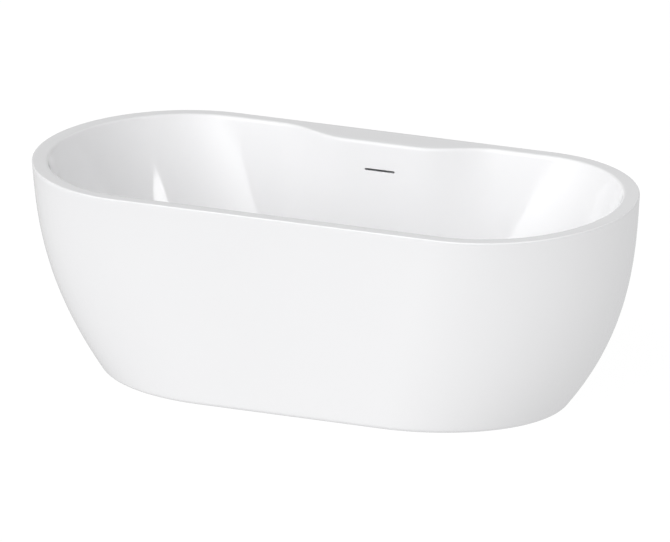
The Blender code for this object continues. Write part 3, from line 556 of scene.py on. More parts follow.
def skirt_point(step, z, inset):
    rise = 1 - z / HEIGHT
    x, y = oval_point(
        step,
        LENGTH - (LENGTH - BASE_LENGTH) * rise**END_FLARE - 2 * inset,
        WIDTH - (WIDTH - BASE_WIDTH) * rise**SIDE_FLARE - 2 * inset,
        RIM_STRAIGHT - (RIM_STRAIGHT - BASE_STRAIGHT) * rise,
    )
    return Vector((x, y, z))


def skirt_rings():
    for share in (1, 0.5, 0.15):
        yield lambda step, i=SKIRT_FOOT_RADIUS + share * SKIRT_LIP: skirt_point(step, FLOOR_GAP, i)
    for degrees in range(0, 90, ANGLE_STEP):
        angle = math.radians(degrees)
        z = FLOOR_GAP + SKIRT_FOOT_RADIUS * (1 - math.cos(angle))
        inset = SKIRT_FOOT_RADIUS * (1 - math.sin(angle))
        yield lambda step, z=z, i=inset: skirt_point(step, z, i)
    start = FLOOR_GAP + SKIRT_FOOT_RADIUS
    for level in range(SKIRT_LEVELS + 1):
        yield lambda step, z=start + (SKIRT_TOP - start) * level / SKIRT_LEVELS: skirt_point(step, z, 0)
    for share in (0.1, 0.55, 1):
        yield lambda step, i=share * SKIRT_FLANGE: skirt_point(step, SKIRT_TOP, i)


bm = stack_rings(AROUND, skirt_rings())
bm.faces.ensure_lookup_table()
middle = max(bm.faces, key=lambda face: face.calc_center_median().x)
if middle.normal.x < 0:
    bmesh.ops.reverse_faces(bm, faces=bm.faces)
bm.normal_update()
bmesh.ops.solidify(bm, geom=bm.faces, thickness=SKIRT_WALL)
bm.normal_update()
ease(bm, touching(sharp_edges(bm), lambda p: abs(p.z - SKIRT_TOP) < 0.0001), SKIRT_TOP_EDGE, 2)
holes = bmesh.new()
for number in range(1, 5):
    low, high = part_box(f"skirt_screw_{number}")
    through = Matrix.Translation(((low + high).x / 2, (low + high).y / 2, FLOOR_GAP))
    bmesh.ops.create_cone(
        holes, cap_ends=True, segments=32, radius1=LIP_HOLE_RADIUS, radius2=LIP_HOLE_RADIUS,
        depth=4 * SKIRT_WALL, matrix=through,
    )
blank, drill = (bpy.data.objects.new(name, bpy.data.meshes.new(name)) for name in ("blank", "drill"))
for obj, part in ((blank, bm), (drill, holes)):
    part.to_mesh(obj.data)
    scene.collection.objects.link(obj)
holes.free()
cut = blank.modifiers.new("lip_holes", "BOOLEAN")
cut.solver = "EXACT"
cut.object = drill
bpy.context.view_layer.update()
bm.clear()
bm.from_mesh(blank.evaluated_get(bpy.context.evaluated_depsgraph_get()).data)
bpy.data.objects.remove(blank)
bpy.data.objects.remove(drill)
put(bm, "bath_skirt", "bath", acrylic, ["outer_skirt"], 50)


# ---- Laminate ----
# Glass fibre in polyester resin, sprayed on the back of the basin and rolled down. It starts below the
# slot and is rough, amber and a little see-through where it is thin.

LAMINATE = 0.003
LAMINATE_TOP = 15 / 64
FIT = 0.0003

resin, nodes, place, sockets = new_look("glass_fibre_laminate", IOR=1.55, Coat_Weight=0.2, Coat_Roughness=0.2)
strands = nodes.add("ShaderNodeTexNoise", sockets={
    "Vector": place, "Scale": 75.0, "Detail": 5.0, "Distortion": 3.0,
})
pools = noise_at(nodes, place, 9.0, 4.0)
fibre = nodes.add("ShaderNodeMapRange", sockets={
    "Value": strands, "From Min": 0.4, "From Max": 0.62, "To Max": 0.6,
})
nodes.feed(sockets["Base Color"], blend_colours(
    nodes, fibre + pools * 0.5, (0.72, 0.66, 0.50, 1), (0.55, 0.46, 0.29, 1)
))
nodes.feed(sockets["Roughness"], pools * 0.4 + 0.25)
nodes.feed(sockets["Normal"], bump(nodes, 0.5, 0.0008, strands + pools))

bm = stack_rings(AROUND, wall_and_floor_rings(LAMINATE_TOP))
face_up(bm)
for vert, normal in [(vert, vert.normal.copy()) for vert in bm.verts]:
    vert.co -= normal * (BASIN_WALL + FIT)
bm.normal_update()
bmesh.ops.solidify(bm, geom=bm.faces, thickness=LAMINATE)
put(bm, "back_laminate", "bath", resin, ["basin_laminate"], 50)


# ---- Base board ----
# Birch plywood, sawn to an oval and bonded under the floor, with a wide hole for the waste.

BOARD_EASE = 0.0008


def eased_copy(node, width, segments=2, least=40):
    """The shape of a CAD node with its sharp edges rounded."""
    bm = bmesh.new()
    bm.from_mesh(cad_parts[node].data)
    bmesh.ops.remove_doubles(bm, verts=bm.verts, dist=0.00001)
    bmesh.ops.recalc_face_normals(bm, faces=bm.faces)
    bmesh.ops.dissolve_limit(bm, angle_limit=math.radians(1), verts=bm.verts, edges=bm.edges)
    bm.normal_update()
    ease(bm, sharp_edges(bm, least), width, segments)
    return bm


plywood, nodes, place, sockets = new_look("birch_plywood", IOR=1.45, Specular_IOR_Level=0.3)
along = nodes.add("ShaderNodeMapping", sockets={"Vector": place, "Scale": (2.5, 38.0, 38.0)})
grain = nodes.add("ShaderNodeTexNoise", sockets={
    "Vector": along, "Scale": 1.6, "Detail": 6.0, "Distortion": 0.6,
})
plies = nodes.add("ShaderNodeTexWave", {"bands_direction": "Z"}, {
    "Vector": place, "Scale": 105.0, "Distortion": 0.15,
})
facing = nodes.add("ShaderNodeSeparateXYZ", sockets={
    "Vector": nodes.add("ShaderNodeTexCoord", output="Normal"),
}, output=2)
steepness = facing.math("ABSOLUTE", facing, 0.0)
edge = steepness.math("LESS_THAN", steepness, 0.5)
face_colour = blend_colours(nodes, grain, (0.62, 0.44, 0.26, 1), (0.78, 0.62, 0.42, 1))
edge_colour = blend_colours(nodes, plies, (0.30, 0.18, 0.10, 1), (0.70, 0.53, 0.34, 1))
nodes.feed(sockets["Base Color"], blend_colours(nodes, edge, face_colour, edge_colour))
nodes.feed(sockets["Roughness"], grain * 0.2 + 0.55)
nodes.feed(sockets["Normal"], bump(nodes, 0.3, 0.0003, grain))
put(eased_copy("base_board", BOARD_EASE), "plywood_board", "bath", plywood, ["base_board"])


# ---- Frame ----
# Square steel tube, sawn to length, welded and sprayed with zinc-rich grey primer. The angles that hold
# the skirt down are bent from strip and welded on the ends of the cross tubes.

TUBE_EASE = 0.0007
ANGLE_EASE = 0.0005

primer, nodes, place, sockets = new_look("zinc_primer", Metallic=0.25)
overspray = noise_at(nodes, place, 24.0, 6.0)
speckle = noise_at(nodes, place, 900.0, 2.0)
nodes.feed(sockets["Base Color"], blend_colours(
    nodes, overspray, (0.28, 0.29, 0.30, 1), (0.40, 0.41, 0.42, 1)
))
nodes.feed(sockets["Roughness"], overspray * 0.25 + 0.42)
nodes.feed(sockets["Normal"], bump(nodes, 0.25, 0.0002, speckle))
for part in ("rail_back", "rail_front", "cross_left", "cross_right"):
    bm = eased_copy(f"frame_{part}", TUBE_EASE)
    put(bm, f"steel_{part}", "bath", primer, [f"frame_{part}"])
for number in range(1, 5):
    bm = eased_copy(f"skirt_bracket_{number}", ANGLE_EASE)
    put(bm, f"steel_angle_{number}", "bath", primer, [f"skirt_bracket_{number}"])


# ---- Screws ----
# Zinc-plated pan-head screws with a six-lobed recess, cold headed and thread rolled. Four hold the
# frame to the board and four hold the skirt's lip to the angles.

BOARD_SCREW_HEAD = 0.005
BOARD_SCREW_RADIUS = 0.0025
LIP_SCREW_HEAD = 0.0045
LIP_SCREW_RADIUS = 0.0022
HEAD_HEIGHT = 0.003
SCREW_PITCH = 0.0012
SCREW_THREAD = 0.00045
LOBE_RADIUS = 0.0015
LOBE_DEPTH = 0.0014
BITE_STEPS = 5
SEAM = 0.000002

plate, nodes, place, sockets = new_look("zinc_plate", Metallic=1.0)
spangle = nodes.add("ShaderNodeTexVoronoi", sockets={"Vector": place, "Scale": 160.0})
handling = noise_at(nodes, place, 60.0, 5.0)
nodes.feed(sockets["Base Color"], blend_colours(
    nodes, handling, (0.56, 0.57, 0.56, 1), (0.72, 0.72, 0.69, 1)
))
nodes.feed(sockets["Roughness"], spangle * 0.12 + handling * 0.15 + 0.2)
nodes.feed(sockets["Normal"], bump(nodes, 0.15, 0.0001, handling))


def close_up(bm):
    """Merges a skin's seam and poles and turns its faces outwards."""
    bmesh.ops.remove_doubles(bm, verts=bm.verts, dist=SEAM)
    bmesh.ops.recalc_face_normals(bm, faces=bm.faces)
    bm.normal_update()
    return bm


def turn(profile, count=64, matrix=None):
    """A closed body through rings of (radius, z), where a radius may be a function of the angle.

    The profile starts and ends on the axis, or comes back to its first point.
    """
    matrix = matrix or Matrix.Identity(4)

    def ring(radius, z):
        def point(step):
            angle = math.tau * step / count
            r = radius(angle) if callable(radius) else radius
            return matrix @ Vector((r * math.cos(angle), r * math.sin(angle), z))
        return point

    return close_up(stack_rings(count, [ring(radius, z) for radius, z in profile]))


def join(*parts):
    """One mesh of several shells."""
    whole = bmesh.new()
    for part in parts:
        mesh = bpy.data.meshes.new("shell")
        part.to_mesh(mesh)
        part.free()
        whole.from_mesh(mesh)
        bpy.data.meshes.remove(mesh)
    whole.normal_update()
    return whole


def thread_point(radius, depth, turns):
    """The radius of a rolled thread at an angle, a number of turns up its axis."""
    def at(angle):
        phase = (turns - angle / math.tau) % 1
        return radius - depth * (0.5 + 0.5 * math.cos(math.tau * phase))
    return at


def screw(middle, seat, tip, head_radius, shank_radius):
    """A screw whose head bears at the height seat and whose shank ends at the height tip."""
    out = math.copysign(1, seat - tip)
    top = seat + out * HEAD_HEIGHT

    def lobes(angle):
        return LOBE_RADIUS * (1 + 0.16 * math.cos(6 * angle))

    profile = [(0, top - out * LOBE_DEPTH), (lobes, top - out * LOBE_DEPTH), (lobes, top)]
    crown = head_radius - LOBE_RADIUS * 1.2
    for degrees in range(0, 91, 15):
        angle = math.radians(degrees)
        profile.append((
            LOBE_RADIUS * 1.2 + crown * math.sin(angle),
            top - out * HEAD_HEIGHT * 0.75 * (1 - math.cos(angle)),
        ))
    profile += [(head_radius, seat), (shank_radius * 0.9, seat)]
    turns = abs(seat - tip) / SCREW_PITCH - 1.5
    rows = int(turns * BITE_STEPS)
    for row in range(rows + 1):
        z = seat - out * (0.0005 + row / BITE_STEPS * SCREW_PITCH)
        profile.append((thread_point(shank_radius, SCREW_THREAD, row / BITE_STEPS), z))
    profile.append((0, tip))
    return turn(profile, 24, Matrix.Translation((middle.x, middle.y, 0)))


def middle_of(node):
    low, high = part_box(node)
    return (low + high) / 2


for number in range(1, 5):
    node = f"board_screw_{number}"
    low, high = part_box(node)
    bm = screw(middle_of(node), low.z + HEAD_HEIGHT, high.z, BOARD_SCREW_HEAD, BOARD_SCREW_RADIUS)
    put(bm, f"frame_screw_{number}", "bath", plate, [node])
    node = f"skirt_screw_{number}"
    low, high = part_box(node)
    bm = screw(middle_of(node), high.z - HEAD_HEIGHT, low.z, LIP_SCREW_HEAD, LIP_SCREW_RADIUS)
    put(bm, f"lip_screw_{number}", "bath", plate, [node])


# ---- Levelling feet ----
# A zinc-plated M12 rod with a forged spanner collar turns in a weld nut on the cross tube and in a
# moulded pad. A lock nut under the tube holds it.

ROD_RADIUS = 0.006
THREAD_PITCH = 0.00175
THREAD_DEPTH = 0.0010
THREAD_ROWS = 7
NUT_FLATS = 0.019
NUT_BORE = 0.0064
HEX_CHAMFER = 0.0093
NUT_LEAD = 0.0008
ROD_LEAD = 0.001
COLLAR_BOTTOM = 0.028
COLLAR_HEIGHT = 0.008
PAD_RADIUS = 0.025
PAD_THICKNESS = 0.008
PAD_NECK = 0.012
PAD_SOCKET = 0.006
PAD_CLEARANCE = 0.0004
PAD_HOLLOW = 0.0006
PAD_EASE = 0.0009
GRIP_DEPTH = 0.0008

black, nodes, place, sockets = new_look("black_moulding", IOR=1.49, Specular_IOR_Level=0.45)
spark = noise_at(nodes, place, 1200.0, 2.0)
bloom = noise_at(nodes, place, 18.0, 4.0)
nodes.feed(sockets["Base Color"], blend_colours(
    nodes, bloom, (0.018, 0.018, 0.019, 1), (0.040, 0.040, 0.042, 1)
))
nodes.feed(sockets["Roughness"], bloom * 0.2 + 0.38)
nodes.feed(sockets["Normal"], bump(nodes, 0.3, 0.0001, spark))


def hexagon(flats, limit=1.0):
    """The radius of a hexagon at an angle, from its width across flats, held in by a chamfer's cone."""
    def at(angle):
        off = (angle + math.pi / 6) % (math.pi / 3) - math.pi / 6
        return min(flats / 2 / math.cos(off), limit)
    return at


def hexagon_rings(bottom, top):
    """A hexagon with a 30 degree chamfer at both ends."""
    drops = [0.00025 * i for i in range(5)]
    cones = [(hexagon(NUT_FLATS, HEX_CHAMFER + drop * math.sqrt(3)), drop) for drop in drops]
    lower = [(radius, bottom + drop) for radius, drop in cones]
    upper = [(radius, top - drop) for radius, drop in reversed(cones)]
    return [*lower, *upper]


def nut(node):
    low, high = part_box(node)
    middle = middle_of(node)
    bottom, top = low.z, high.z
    profile = [
        (NUT_BORE, top - NUT_LEAD), (NUT_BORE, bottom + NUT_LEAD), (NUT_BORE + NUT_LEAD, bottom),
        *hexagon_rings(bottom, top), (NUT_BORE + NUT_LEAD, top), (NUT_BORE, top - NUT_LEAD),
    ]
    return turn(profile, 72, Matrix.Translation((middle.x, middle.y, 0)))


def rod(node):
    low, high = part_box(node)
    middle = middle_of(node)
    collar_top = COLLAR_BOTTOM + COLLAR_HEIGHT
    profile = [
        (0, low.z), (ROD_RADIUS - ROD_LEAD, low.z), (ROD_RADIUS, low.z + ROD_LEAD),
        (ROD_RADIUS, COLLAR_BOTTOM), *hexagon_rings(COLLAR_BOTTOM, collar_top),
        (ROD_RADIUS - THREAD_DEPTH, collar_top),
    ]
    start = collar_top + ROD_LEAD
    rows = int((high.z - ROD_LEAD - start) / THREAD_PITCH * THREAD_ROWS)
    for row in range(rows + 1):
        turns = row / THREAD_ROWS
        profile.append((thread_point(ROD_RADIUS, THREAD_DEPTH, turns), start + turns * THREAD_PITCH))
    profile += [(ROD_RADIUS - THREAD_DEPTH, high.z), (0, high.z)]
    return turn(profile, 36, Matrix.Translation((middle.x, middle.y, 0)))


def pad(node):
    low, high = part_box(node)
    middle = middle_of(node)

    def gripped(angle):
        return PAD_RADIUS - GRIP_DEPTH * (0.5 - 0.5 * math.cos(12 * angle)) ** 3

    socket = ROD_RADIUS + PAD_CLEARANCE
    profile = [
        (0, PAD_SOCKET), (socket, PAD_SOCKET), (socket, high.z), (PAD_NECK, high.z),
        (PAD_NECK, PAD_THICKNESS + 0.003), (PAD_NECK + 0.001, PAD_THICKNESS + 0.0022),
        (gripped, PAD_THICKNESS), (gripped, low.z), (PAD_RADIUS * 0.8, low.z),
        (PAD_RADIUS * 0.78, low.z + PAD_HOLLOW), (0, low.z + PAD_HOLLOW),
    ]
    bm = turn(profile, 96, Matrix.Translation((middle.x, middle.y, 0)))
    ease(bm, sharp_edges(bm, 45), PAD_EASE / 2, 2)
    return bm


for number in range(1, 5):
    put(pad(f"foot_pad_{number}"), f"pad_{number}", f"glide_{number}", black,
        [f"foot_pad_{number}"])
    put(rod(f"foot_rod_{number}"), f"threaded_rod_{number}", f"rod_{number}", plate,
        [f"foot_rod_{number}"], 50)
    for kind in ("weld_nut", "lock_nut"):
        node = f"foot_{kind}_{number}"
        put(nut(node), f"{kind}_{number}", "bath", plate, [node], 25)


# ---- Drain ----
# A chromed brass flange screws down through the floor into a moulded shoe, with rubber between. A click
# cartridge stands in its spider. The tailpiece hangs on the shoe's outlet in a slip nut.

BARREL_RADIUS = 0.023
BARREL_BORE = 0.020
BARREL_PITCH = 0.0015
BARREL_THREAD = 0.0007
FLANGE_RADIUS = 0.034
FLANGE_THICKNESS = 0.0025
FLANGE_EDGE = 0.0008
SPIDER_HEIGHT = 0.006
SPIDER_BAR = 0.004
SPIDER_BORE = 0.0084
SPIDER_BITE = 0.001
HUB_RADIUS = 0.012
CHROME_EASE = 0.0004
CARTRIDGE_RADIUS = 0.008
CARTRIDGE_BOTTOM = 0.0025
CARTRIDGE_GAP = 0.0004
GROOVE_TOP = 0.006
GROOVE_BOTTOM = 0.009
GROOVE_DEPTH = 0.0006
SHOULDER_RADIUS = 0.011
SHOULDER_HEIGHT = 0.002
PLUNGER_RADIUS = 0.0045
SPRING_WIRE = 0.0005
SPRING_TURNS = 6
TURN_STEPS = 24
WIRE_SIDES = 10
CAP_EDGE = 0.003
CAP_CROWN = 0.002
CAP_BOSS = 0.0075
CAP_SOCKET = 0.002
RUBBER_EASE = 0.0005
SHOE_RADIUS = 0.029
SHOE_FLANGE = 0.004
SHOE_FLANGE_RADIUS = 0.036
SHOE_FLOOR = 0.003
SHOE_RIB_DEPTH = 0.0012
OUTLET_RADIUS = 0.020
OUTLET_BORE = 0.0155
OUTLET_CONE = 0.006
CHAMBER_DEPTH = 0.060
SPIGOT_RADIUS = 0.0085
SPIGOT_BORE = 0.0065
SPIGOT_LENGTH = 0.024
SPIGOT_BITE = 0.004
BARB_DEPTH = 0.0006
BARB_STEP = 0.005
BARB_FACE = 0.0004
HAND_NUT_RADIUS = 0.026
HAND_NUT_COLLAR = 0.0245
HAND_NUT_FOOT = 0.0235
HAND_NUT_MOUTH = 0.0163
LUG_DEPTH = 0.0022
NUT_LIP = 0.003
PIPE_BORE = 0.0145
PIPE_RADIUS = 0.016
PIPE_FLANGE_RADIUS = 0.019
PIPE_FLANGE = 0.002
SHOE_EASE = 0.0006

chrome, nodes, place, sockets = new_look("chrome_plate", Metallic=1.0)
spots = nodes.add("ShaderNodeTexVoronoi", sockets={"Vector": place, "Scale": 110.0})
ring_mark = nodes.add("ShaderNodeMapRange", sockets={
    "Value": spots, "From Min": 0.1, "From Max": 0.35, "To Min": 1.0, "To Max": 0.0,
})
haze = noise_at(nodes, place, 30.0, 4.0)
nodes.feed(sockets["Base Color"], blend_colours(
    nodes, haze, (0.76, 0.77, 0.78, 1), (0.84, 0.84, 0.85, 1)
))
nodes.feed(sockets["Roughness"], ring_mark * haze * 0.12 + 0.05)

rubber, nodes, place, sockets = new_look("black_rubber", IOR=1.52, Specular_IOR_Level=0.3)
talc = noise_at(nodes, place, 70.0, 5.0)
pores = noise_at(nodes, place, 1500.0, 2.0)
nodes.feed(sockets["Base Color"], blend_colours(
    nodes, talc, (0.016, 0.016, 0.016, 1), (0.050, 0.049, 0.047, 1)
))
nodes.feed(sockets["Roughness"], talc * 0.15 + 0.68)
nodes.feed(sockets["Normal"], bump(nodes, 0.3, 0.0001, pores))

wire, nodes, place, sockets = new_look("spring_wire", Metallic=1.0)
drawn = noise_at(nodes, place, 420.0, 3.0)
nodes.feed(sockets["Base Color"], blend_colours(
    nodes, drawn, (0.42, 0.42, 0.43, 1), (0.60, 0.60, 0.60, 1)
))
nodes.feed(sockets["Roughness"], drawn * 0.15 + 0.2)


def washer(node, name, inner, look, body="bath"):
    """A flat ring with eased edges, as wide and thick as its node."""
    low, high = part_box(node)
    outer = high.x
    profile = [(inner, low.z), (outer, low.z), (outer, high.z), (inner, high.z), (inner, low.z)]
    bm = turn(profile, 96)
    ease(bm, sharp_edges(bm), RUBBER_EASE, 2)
    put(bm, name, body, look, [node])


low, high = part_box("drain_flange")
bottom, top = low.z, high.z
under = top - FLANGE_THICKNESS
edge = FLANGE_EDGE
profile = [(BARREL_BORE, top - 2 * edge), (BARREL_BORE + 2 * edge, top)]
for degrees in range(0, 91, 15):
    angle = math.radians(degrees)
    profile.append((
        FLANGE_RADIUS - edge + edge * math.sin(angle), top - edge + edge * math.cos(angle),
    ))
profile += [(FLANGE_RADIUS, under), (BARREL_RADIUS, under)]
plain = 0.002
thread_rows = int((under - bottom - 2 * plain) / BARREL_PITCH * THREAD_ROWS)
for row in range(thread_rows + 1):
    turns = row / THREAD_ROWS
    crest = thread_point(BARREL_RADIUS, BARREL_THREAD, -turns)
    profile.append((crest, under - plain - turns * BARREL_PITCH))
profile += [(BARREL_RADIUS - BARREL_THREAD, bottom), (BARREL_BORE, bottom), profile[0]]
barrel = turn(profile, 96)
hub_top = bottom + SPIDER_HEIGHT
hub = turn([
    (SPIDER_BORE, bottom), (HUB_RADIUS, bottom), (HUB_RADIUS, hub_top), (SPIDER_BORE, hub_top),
    (SPIDER_BORE, bottom),
], 64)
ease(hub, sharp_edges(hub), CHROME_EASE, 2)
arms = []
for quarter in range(4):
    arm = bmesh.new()
    reach = (BARREL_BORE + BARREL_RADIUS) / 2 - HUB_RADIUS + SPIDER_BITE
    middle = Vector((HUB_RADIUS - SPIDER_BITE + reach / 2, 0, bottom + SPIDER_HEIGHT / 2))
    turn_to = Matrix.Rotation(math.pi / 2 * quarter, 4, "Z")
    shape = Matrix.Translation(middle) @ Matrix.Diagonal((reach, SPIDER_BAR, SPIDER_HEIGHT, 1))
    bmesh.ops.create_cube(arm, size=1, matrix=turn_to @ shape)
    ease(arm, sharp_edges(arm), CHROME_EASE * 2, 3)
    arms.append(arm)
put(join(barrel, hub, *arms), "waste_flange", "bath", chrome, ["drain_flange"])
washer("flange_seal", "flange_gasket", BARREL_RADIUS + FIT, rubber)
washer("floor_washer", "waste_washer", BARREL_RADIUS + FIT, rubber)
washer("cap_seal", "plug_seal", CAP_BOSS + FIT, rubber, "plug")
washer("slip_washer", "outlet_washer", OUTLET_BORE, rubber)

low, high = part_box("click_cartridge")
bottom, top = low.z, high.z
shoulder = hub_top + FIT
bore = PLUNGER_RADIUS + CARTRIDGE_GAP
waist = CARTRIDGE_RADIUS - GROOVE_DEPTH
bm = turn([
    (0, bottom + CARTRIDGE_BOTTOM), (bore, bottom + CARTRIDGE_BOTTOM), (bore, top),
    (CARTRIDGE_RADIUS, top), (CARTRIDGE_RADIUS, top - GROOVE_TOP),
    (waist, top - GROOVE_TOP - GROOVE_DEPTH), (waist, top - GROOVE_BOTTOM + GROOVE_DEPTH),
    (CARTRIDGE_RADIUS, top - GROOVE_BOTTOM), (CARTRIDGE_RADIUS, shoulder + SHOULDER_HEIGHT),
    (SHOULDER_RADIUS, shoulder + SHOULDER_HEIGHT), (SHOULDER_RADIUS, shoulder),
    (CARTRIDGE_RADIUS, shoulder), (CARTRIDGE_RADIUS, bottom), (0, bottom),
], 64)
ease(bm, sharp_edges(bm, 60), CHROME_EASE / 2, 2)
put(bm, "push_cartridge", "bath", chrome, ["click_cartridge"])

low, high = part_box("cap_plunger")
bm = turn([
    (0, high.z), (PLUNGER_RADIUS, high.z), (PLUNGER_RADIUS, low.z), (0, low.z),
], 48)
ease(bm, sharp_edges(bm), CHROME_EASE, 2)
put(bm, "plunger", "plug", chrome, ["cap_plunger"])

low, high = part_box("drain_cap")
cap_radius = high.x
cap_under = high.z - CAP_EDGE - CAP_CROWN
socket_top = cap_under + CAP_SOCKET
profile = [(0, high.z)]
for degrees in range(5, 91, 5):
    angle = math.radians(degrees)
    profile.append((cap_radius * math.sin(angle), cap_under + CAP_EDGE + CAP_CROWN * math.cos(angle)))
bore = PLUNGER_RADIUS + FIT
profile += [
    (cap_radius, cap_under), (CAP_BOSS, cap_under), (CAP_BOSS, low.z), (bore, low.z),
    (bore, socket_top), (0, socket_top),
]
bm = turn(profile, 128)
ease(bm, sharp_edges(bm, 60), CHROME_EASE, 3)
put(bm, "plug_cap", "plug", chrome, ["drain_cap"])


def sweep(path, count, radius):
    """The rings of a skin round a path of points, radius(share of the length, angle) away from it."""
    tangents = [
        (path[min(i + 1, len(path) - 1)] - path[max(i - 1, 0)]).normalized() for i in range(len(path))
    ]
    side = tangents[0].orthogonal().normalized()
    rings = []
    for i, (point, tangent) in enumerate(zip(path, tangents)):
        side = (side - tangent * side.dot(tangent)).normalized()

        def ring(step, p=point, s=side, u=tangent.cross(side), share=i / (len(path) - 1)):
            angle = math.tau * step / count
            return p + (s * math.cos(angle) + u * math.sin(angle)) * radius(share, angle)

        rings.append(ring)
    return rings


low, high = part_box("click_spring")
coil = PLUNGER_RADIUS - 2 * SPRING_WIRE
inset = 1.05 * SPRING_WIRE
path = []
for i in range(TURN_STEPS * SPRING_TURNS + 1):
    share = i / (TURN_STEPS * SPRING_TURNS)
    angle = math.tau * SPRING_TURNS * share
    z = low.z + inset + (high.z - low.z - 2 * inset) * share
    path.append(Vector((coil * math.cos(angle), coil * math.sin(angle), z)))
rings = sweep(path, WIRE_SIDES, lambda share, angle: SPRING_WIRE)
rings = [lambda step: path[0], *rings, lambda step: path[-1]]
bm = close_up(stack_rings(WIRE_SIDES, rings))
mesh = bpy.data.meshes.new("coil_spring")
bm.to_mesh(mesh)
bm.free()
mesh.shade_smooth()
mesh.materials.append(wire)
spring = bpy.data.objects.new("coil_spring", mesh)
scene.collection.objects.link(spring)
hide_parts("click_spring")
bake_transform(spring)

low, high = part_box("drain_shoe")
shoe_top = high.z
chamber = shoe_top - CHAMBER_DEPTH
bore = BARREL_RADIUS + FIT
cone_end = chamber - OUTLET_CONE
flange_bottom = shoe_top - SHOE_FLANGE


def ribbed(angle):
    """Twelve ribs up the chamber's side, for grip."""
    return SHOE_RADIUS - SHOE_RIB_DEPTH * (0.5 - 0.5 * math.cos(12 * angle)) ** 2


shell = turn([
    (bore, shoe_top), (SHOE_FLANGE_RADIUS, shoe_top), (SHOE_FLANGE_RADIUS, flange_bottom),
    (SHOE_RADIUS, flange_bottom), (SHOE_RADIUS, flange_bottom - 0.004),
    (ribbed, flange_bottom - 0.006), (ribbed, chamber + 0.028), (SHOE_RADIUS, chamber + 0.026),
    (SHOE_RADIUS, chamber), (OUTLET_RADIUS, cone_end), (OUTLET_RADIUS, low.z),
    (OUTLET_BORE, low.z), (OUTLET_BORE, cone_end), (bore, chamber + SHOE_FLOOR), (bore, shoe_top),
], 96)
ease(shell, sharp_edges(shell, 25), SHOE_EASE, 2)


def spigot(start, matrix):
    """A hose tail with three barbs, from a wall that it starts in to SPIGOT_LENGTH beyond."""
    root, end = start - SPIGOT_BITE, start + SPIGOT_LENGTH
    valley = SPIGOT_RADIUS - BARB_DEPTH
    profile = [(SPIGOT_RADIUS, root)]
    for barb in range(3):
        z = end - 0.014 + BARB_STEP * barb
        profile += [(valley, z), (SPIGOT_RADIUS, z + BARB_FACE)]
    profile += [(valley, end), (SPIGOT_BORE, end), (SPIGOT_BORE, root), profile[0]]
    return turn(profile, 48, matrix)


shoe_middle = Matrix.Translation((0, 0, middle_of("hose_clip_bottom").z))
tail = spigot(SHOE_RADIUS, shoe_middle @ Matrix.Rotation(-math.pi / 2, 4, "X"))
put(join(shell, tail), "waste_shoe", "bath", black, ["drain_shoe"])

low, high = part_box("slip_nut")


def lugged(angle):
    """Eight lugs for a hand or a wrench."""
    return HAND_NUT_RADIUS - LUG_DEPTH * (0.5 - 0.5 * math.cos(8 * angle)) ** 0.5


bm = turn([
    (OUTLET_RADIUS + FIT, high.z), (HAND_NUT_COLLAR, high.z), (HAND_NUT_COLLAR, high.z - 0.003),
    (lugged, high.z - 0.0035), (lugged, low.z + 0.002), (HAND_NUT_FOOT, low.z),
    (HAND_NUT_MOUTH, low.z), (HAND_NUT_MOUTH, low.z + NUT_LIP),
    (OUTLET_RADIUS + FIT, low.z + NUT_LIP), (OUTLET_RADIUS + FIT, high.z),
], 128)
ease(bm, sharp_edges(bm, 50), SHOE_EASE / 2, 2)
put(bm, "hand_nut", "bath", black, ["slip_nut"])

low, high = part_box("tailpiece")
flange_bottom = high.z - PIPE_FLANGE
bm = turn([
    (PIPE_BORE, high.z), (PIPE_FLANGE_RADIUS, high.z), (PIPE_FLANGE_RADIUS, flange_bottom),
    (PIPE_RADIUS, flange_bottom), (PIPE_RADIUS, low.z), (PIPE_BORE, low.z), (PIPE_BORE, high.z),
], 96)
ease(bm, sharp_edges(bm), CHROME_EASE, 2)
put(bm, "outlet_pipe", "bath", chrome, ["tailpiece"])


# ---- Overflow ----
# A foam-rubber gasket and a moulded box behind the slot. A corrugated hose runs down inside the skirt
# to the shoe and is held at both ends by a worm-drive clip.

HOSE_RADIUS = 0.012
HOSE_WALL = 0.0022
HOSE_GRIP = 0.018
HOSE_OFFSET = 0.032
HOSE_RIB = 0.0045
HOSE_RIB_DEPTH = 0.0011
HOSE_STEP = 0.00075
HOSE_SIDES = 28
ROUTE_STEPS = 64
CLIP_WIDTH = 0.008
CLIP_BAND = 0.0008
CLIP_BLOCK = 0.006
CLIP_BITE = 0.0004
WORM_RADIUS = 0.0019
WORM_NECK = 0.0045
WORM_FLATS = 0.0048
WORM_SOCKET = 0.0011
GASKET_THICKNESS = 0.003
GASKET_EASE = 0.0005
SHELL_DEPTH = 0.024
SHELL_BORDER = 0.009
SHELL_GAP = 0.0005
SHELL_EASE = 0.0009

hose_grey, nodes, place, sockets = new_look("hose_plastic", IOR=1.5)
scuffs = noise_at(nodes, place, 45.0, 5.0)
nodes.feed(sockets["Base Color"], blend_colours(
    nodes, scuffs, (0.50, 0.51, 0.52, 1), (0.62, 0.63, 0.64, 1)
))
nodes.feed(sockets["Roughness"], scuffs * 0.2 + 0.32)
nodes.feed(sockets["Normal"], bump(nodes, 0.1, 0.0002, scuffs))

bm = eased_copy("overflow_gasket", GASKET_EASE)
put(bm, "slot_gasket", "bath", rubber, ["overflow_gasket"])
bm = eased_copy("overflow_box", SHELL_EASE)
put(bm, "slot_box", "bath", hose_grey, ["overflow_box"])


def skirt_inside(z):
    """Y of the skirt's inner face in the middle of its back."""
    return (WIDTH - (WIDTH - BASE_WIDTH) * (1 - z / HEIGHT) ** SIDE_FLARE) / 2 - SKIRT_WALL


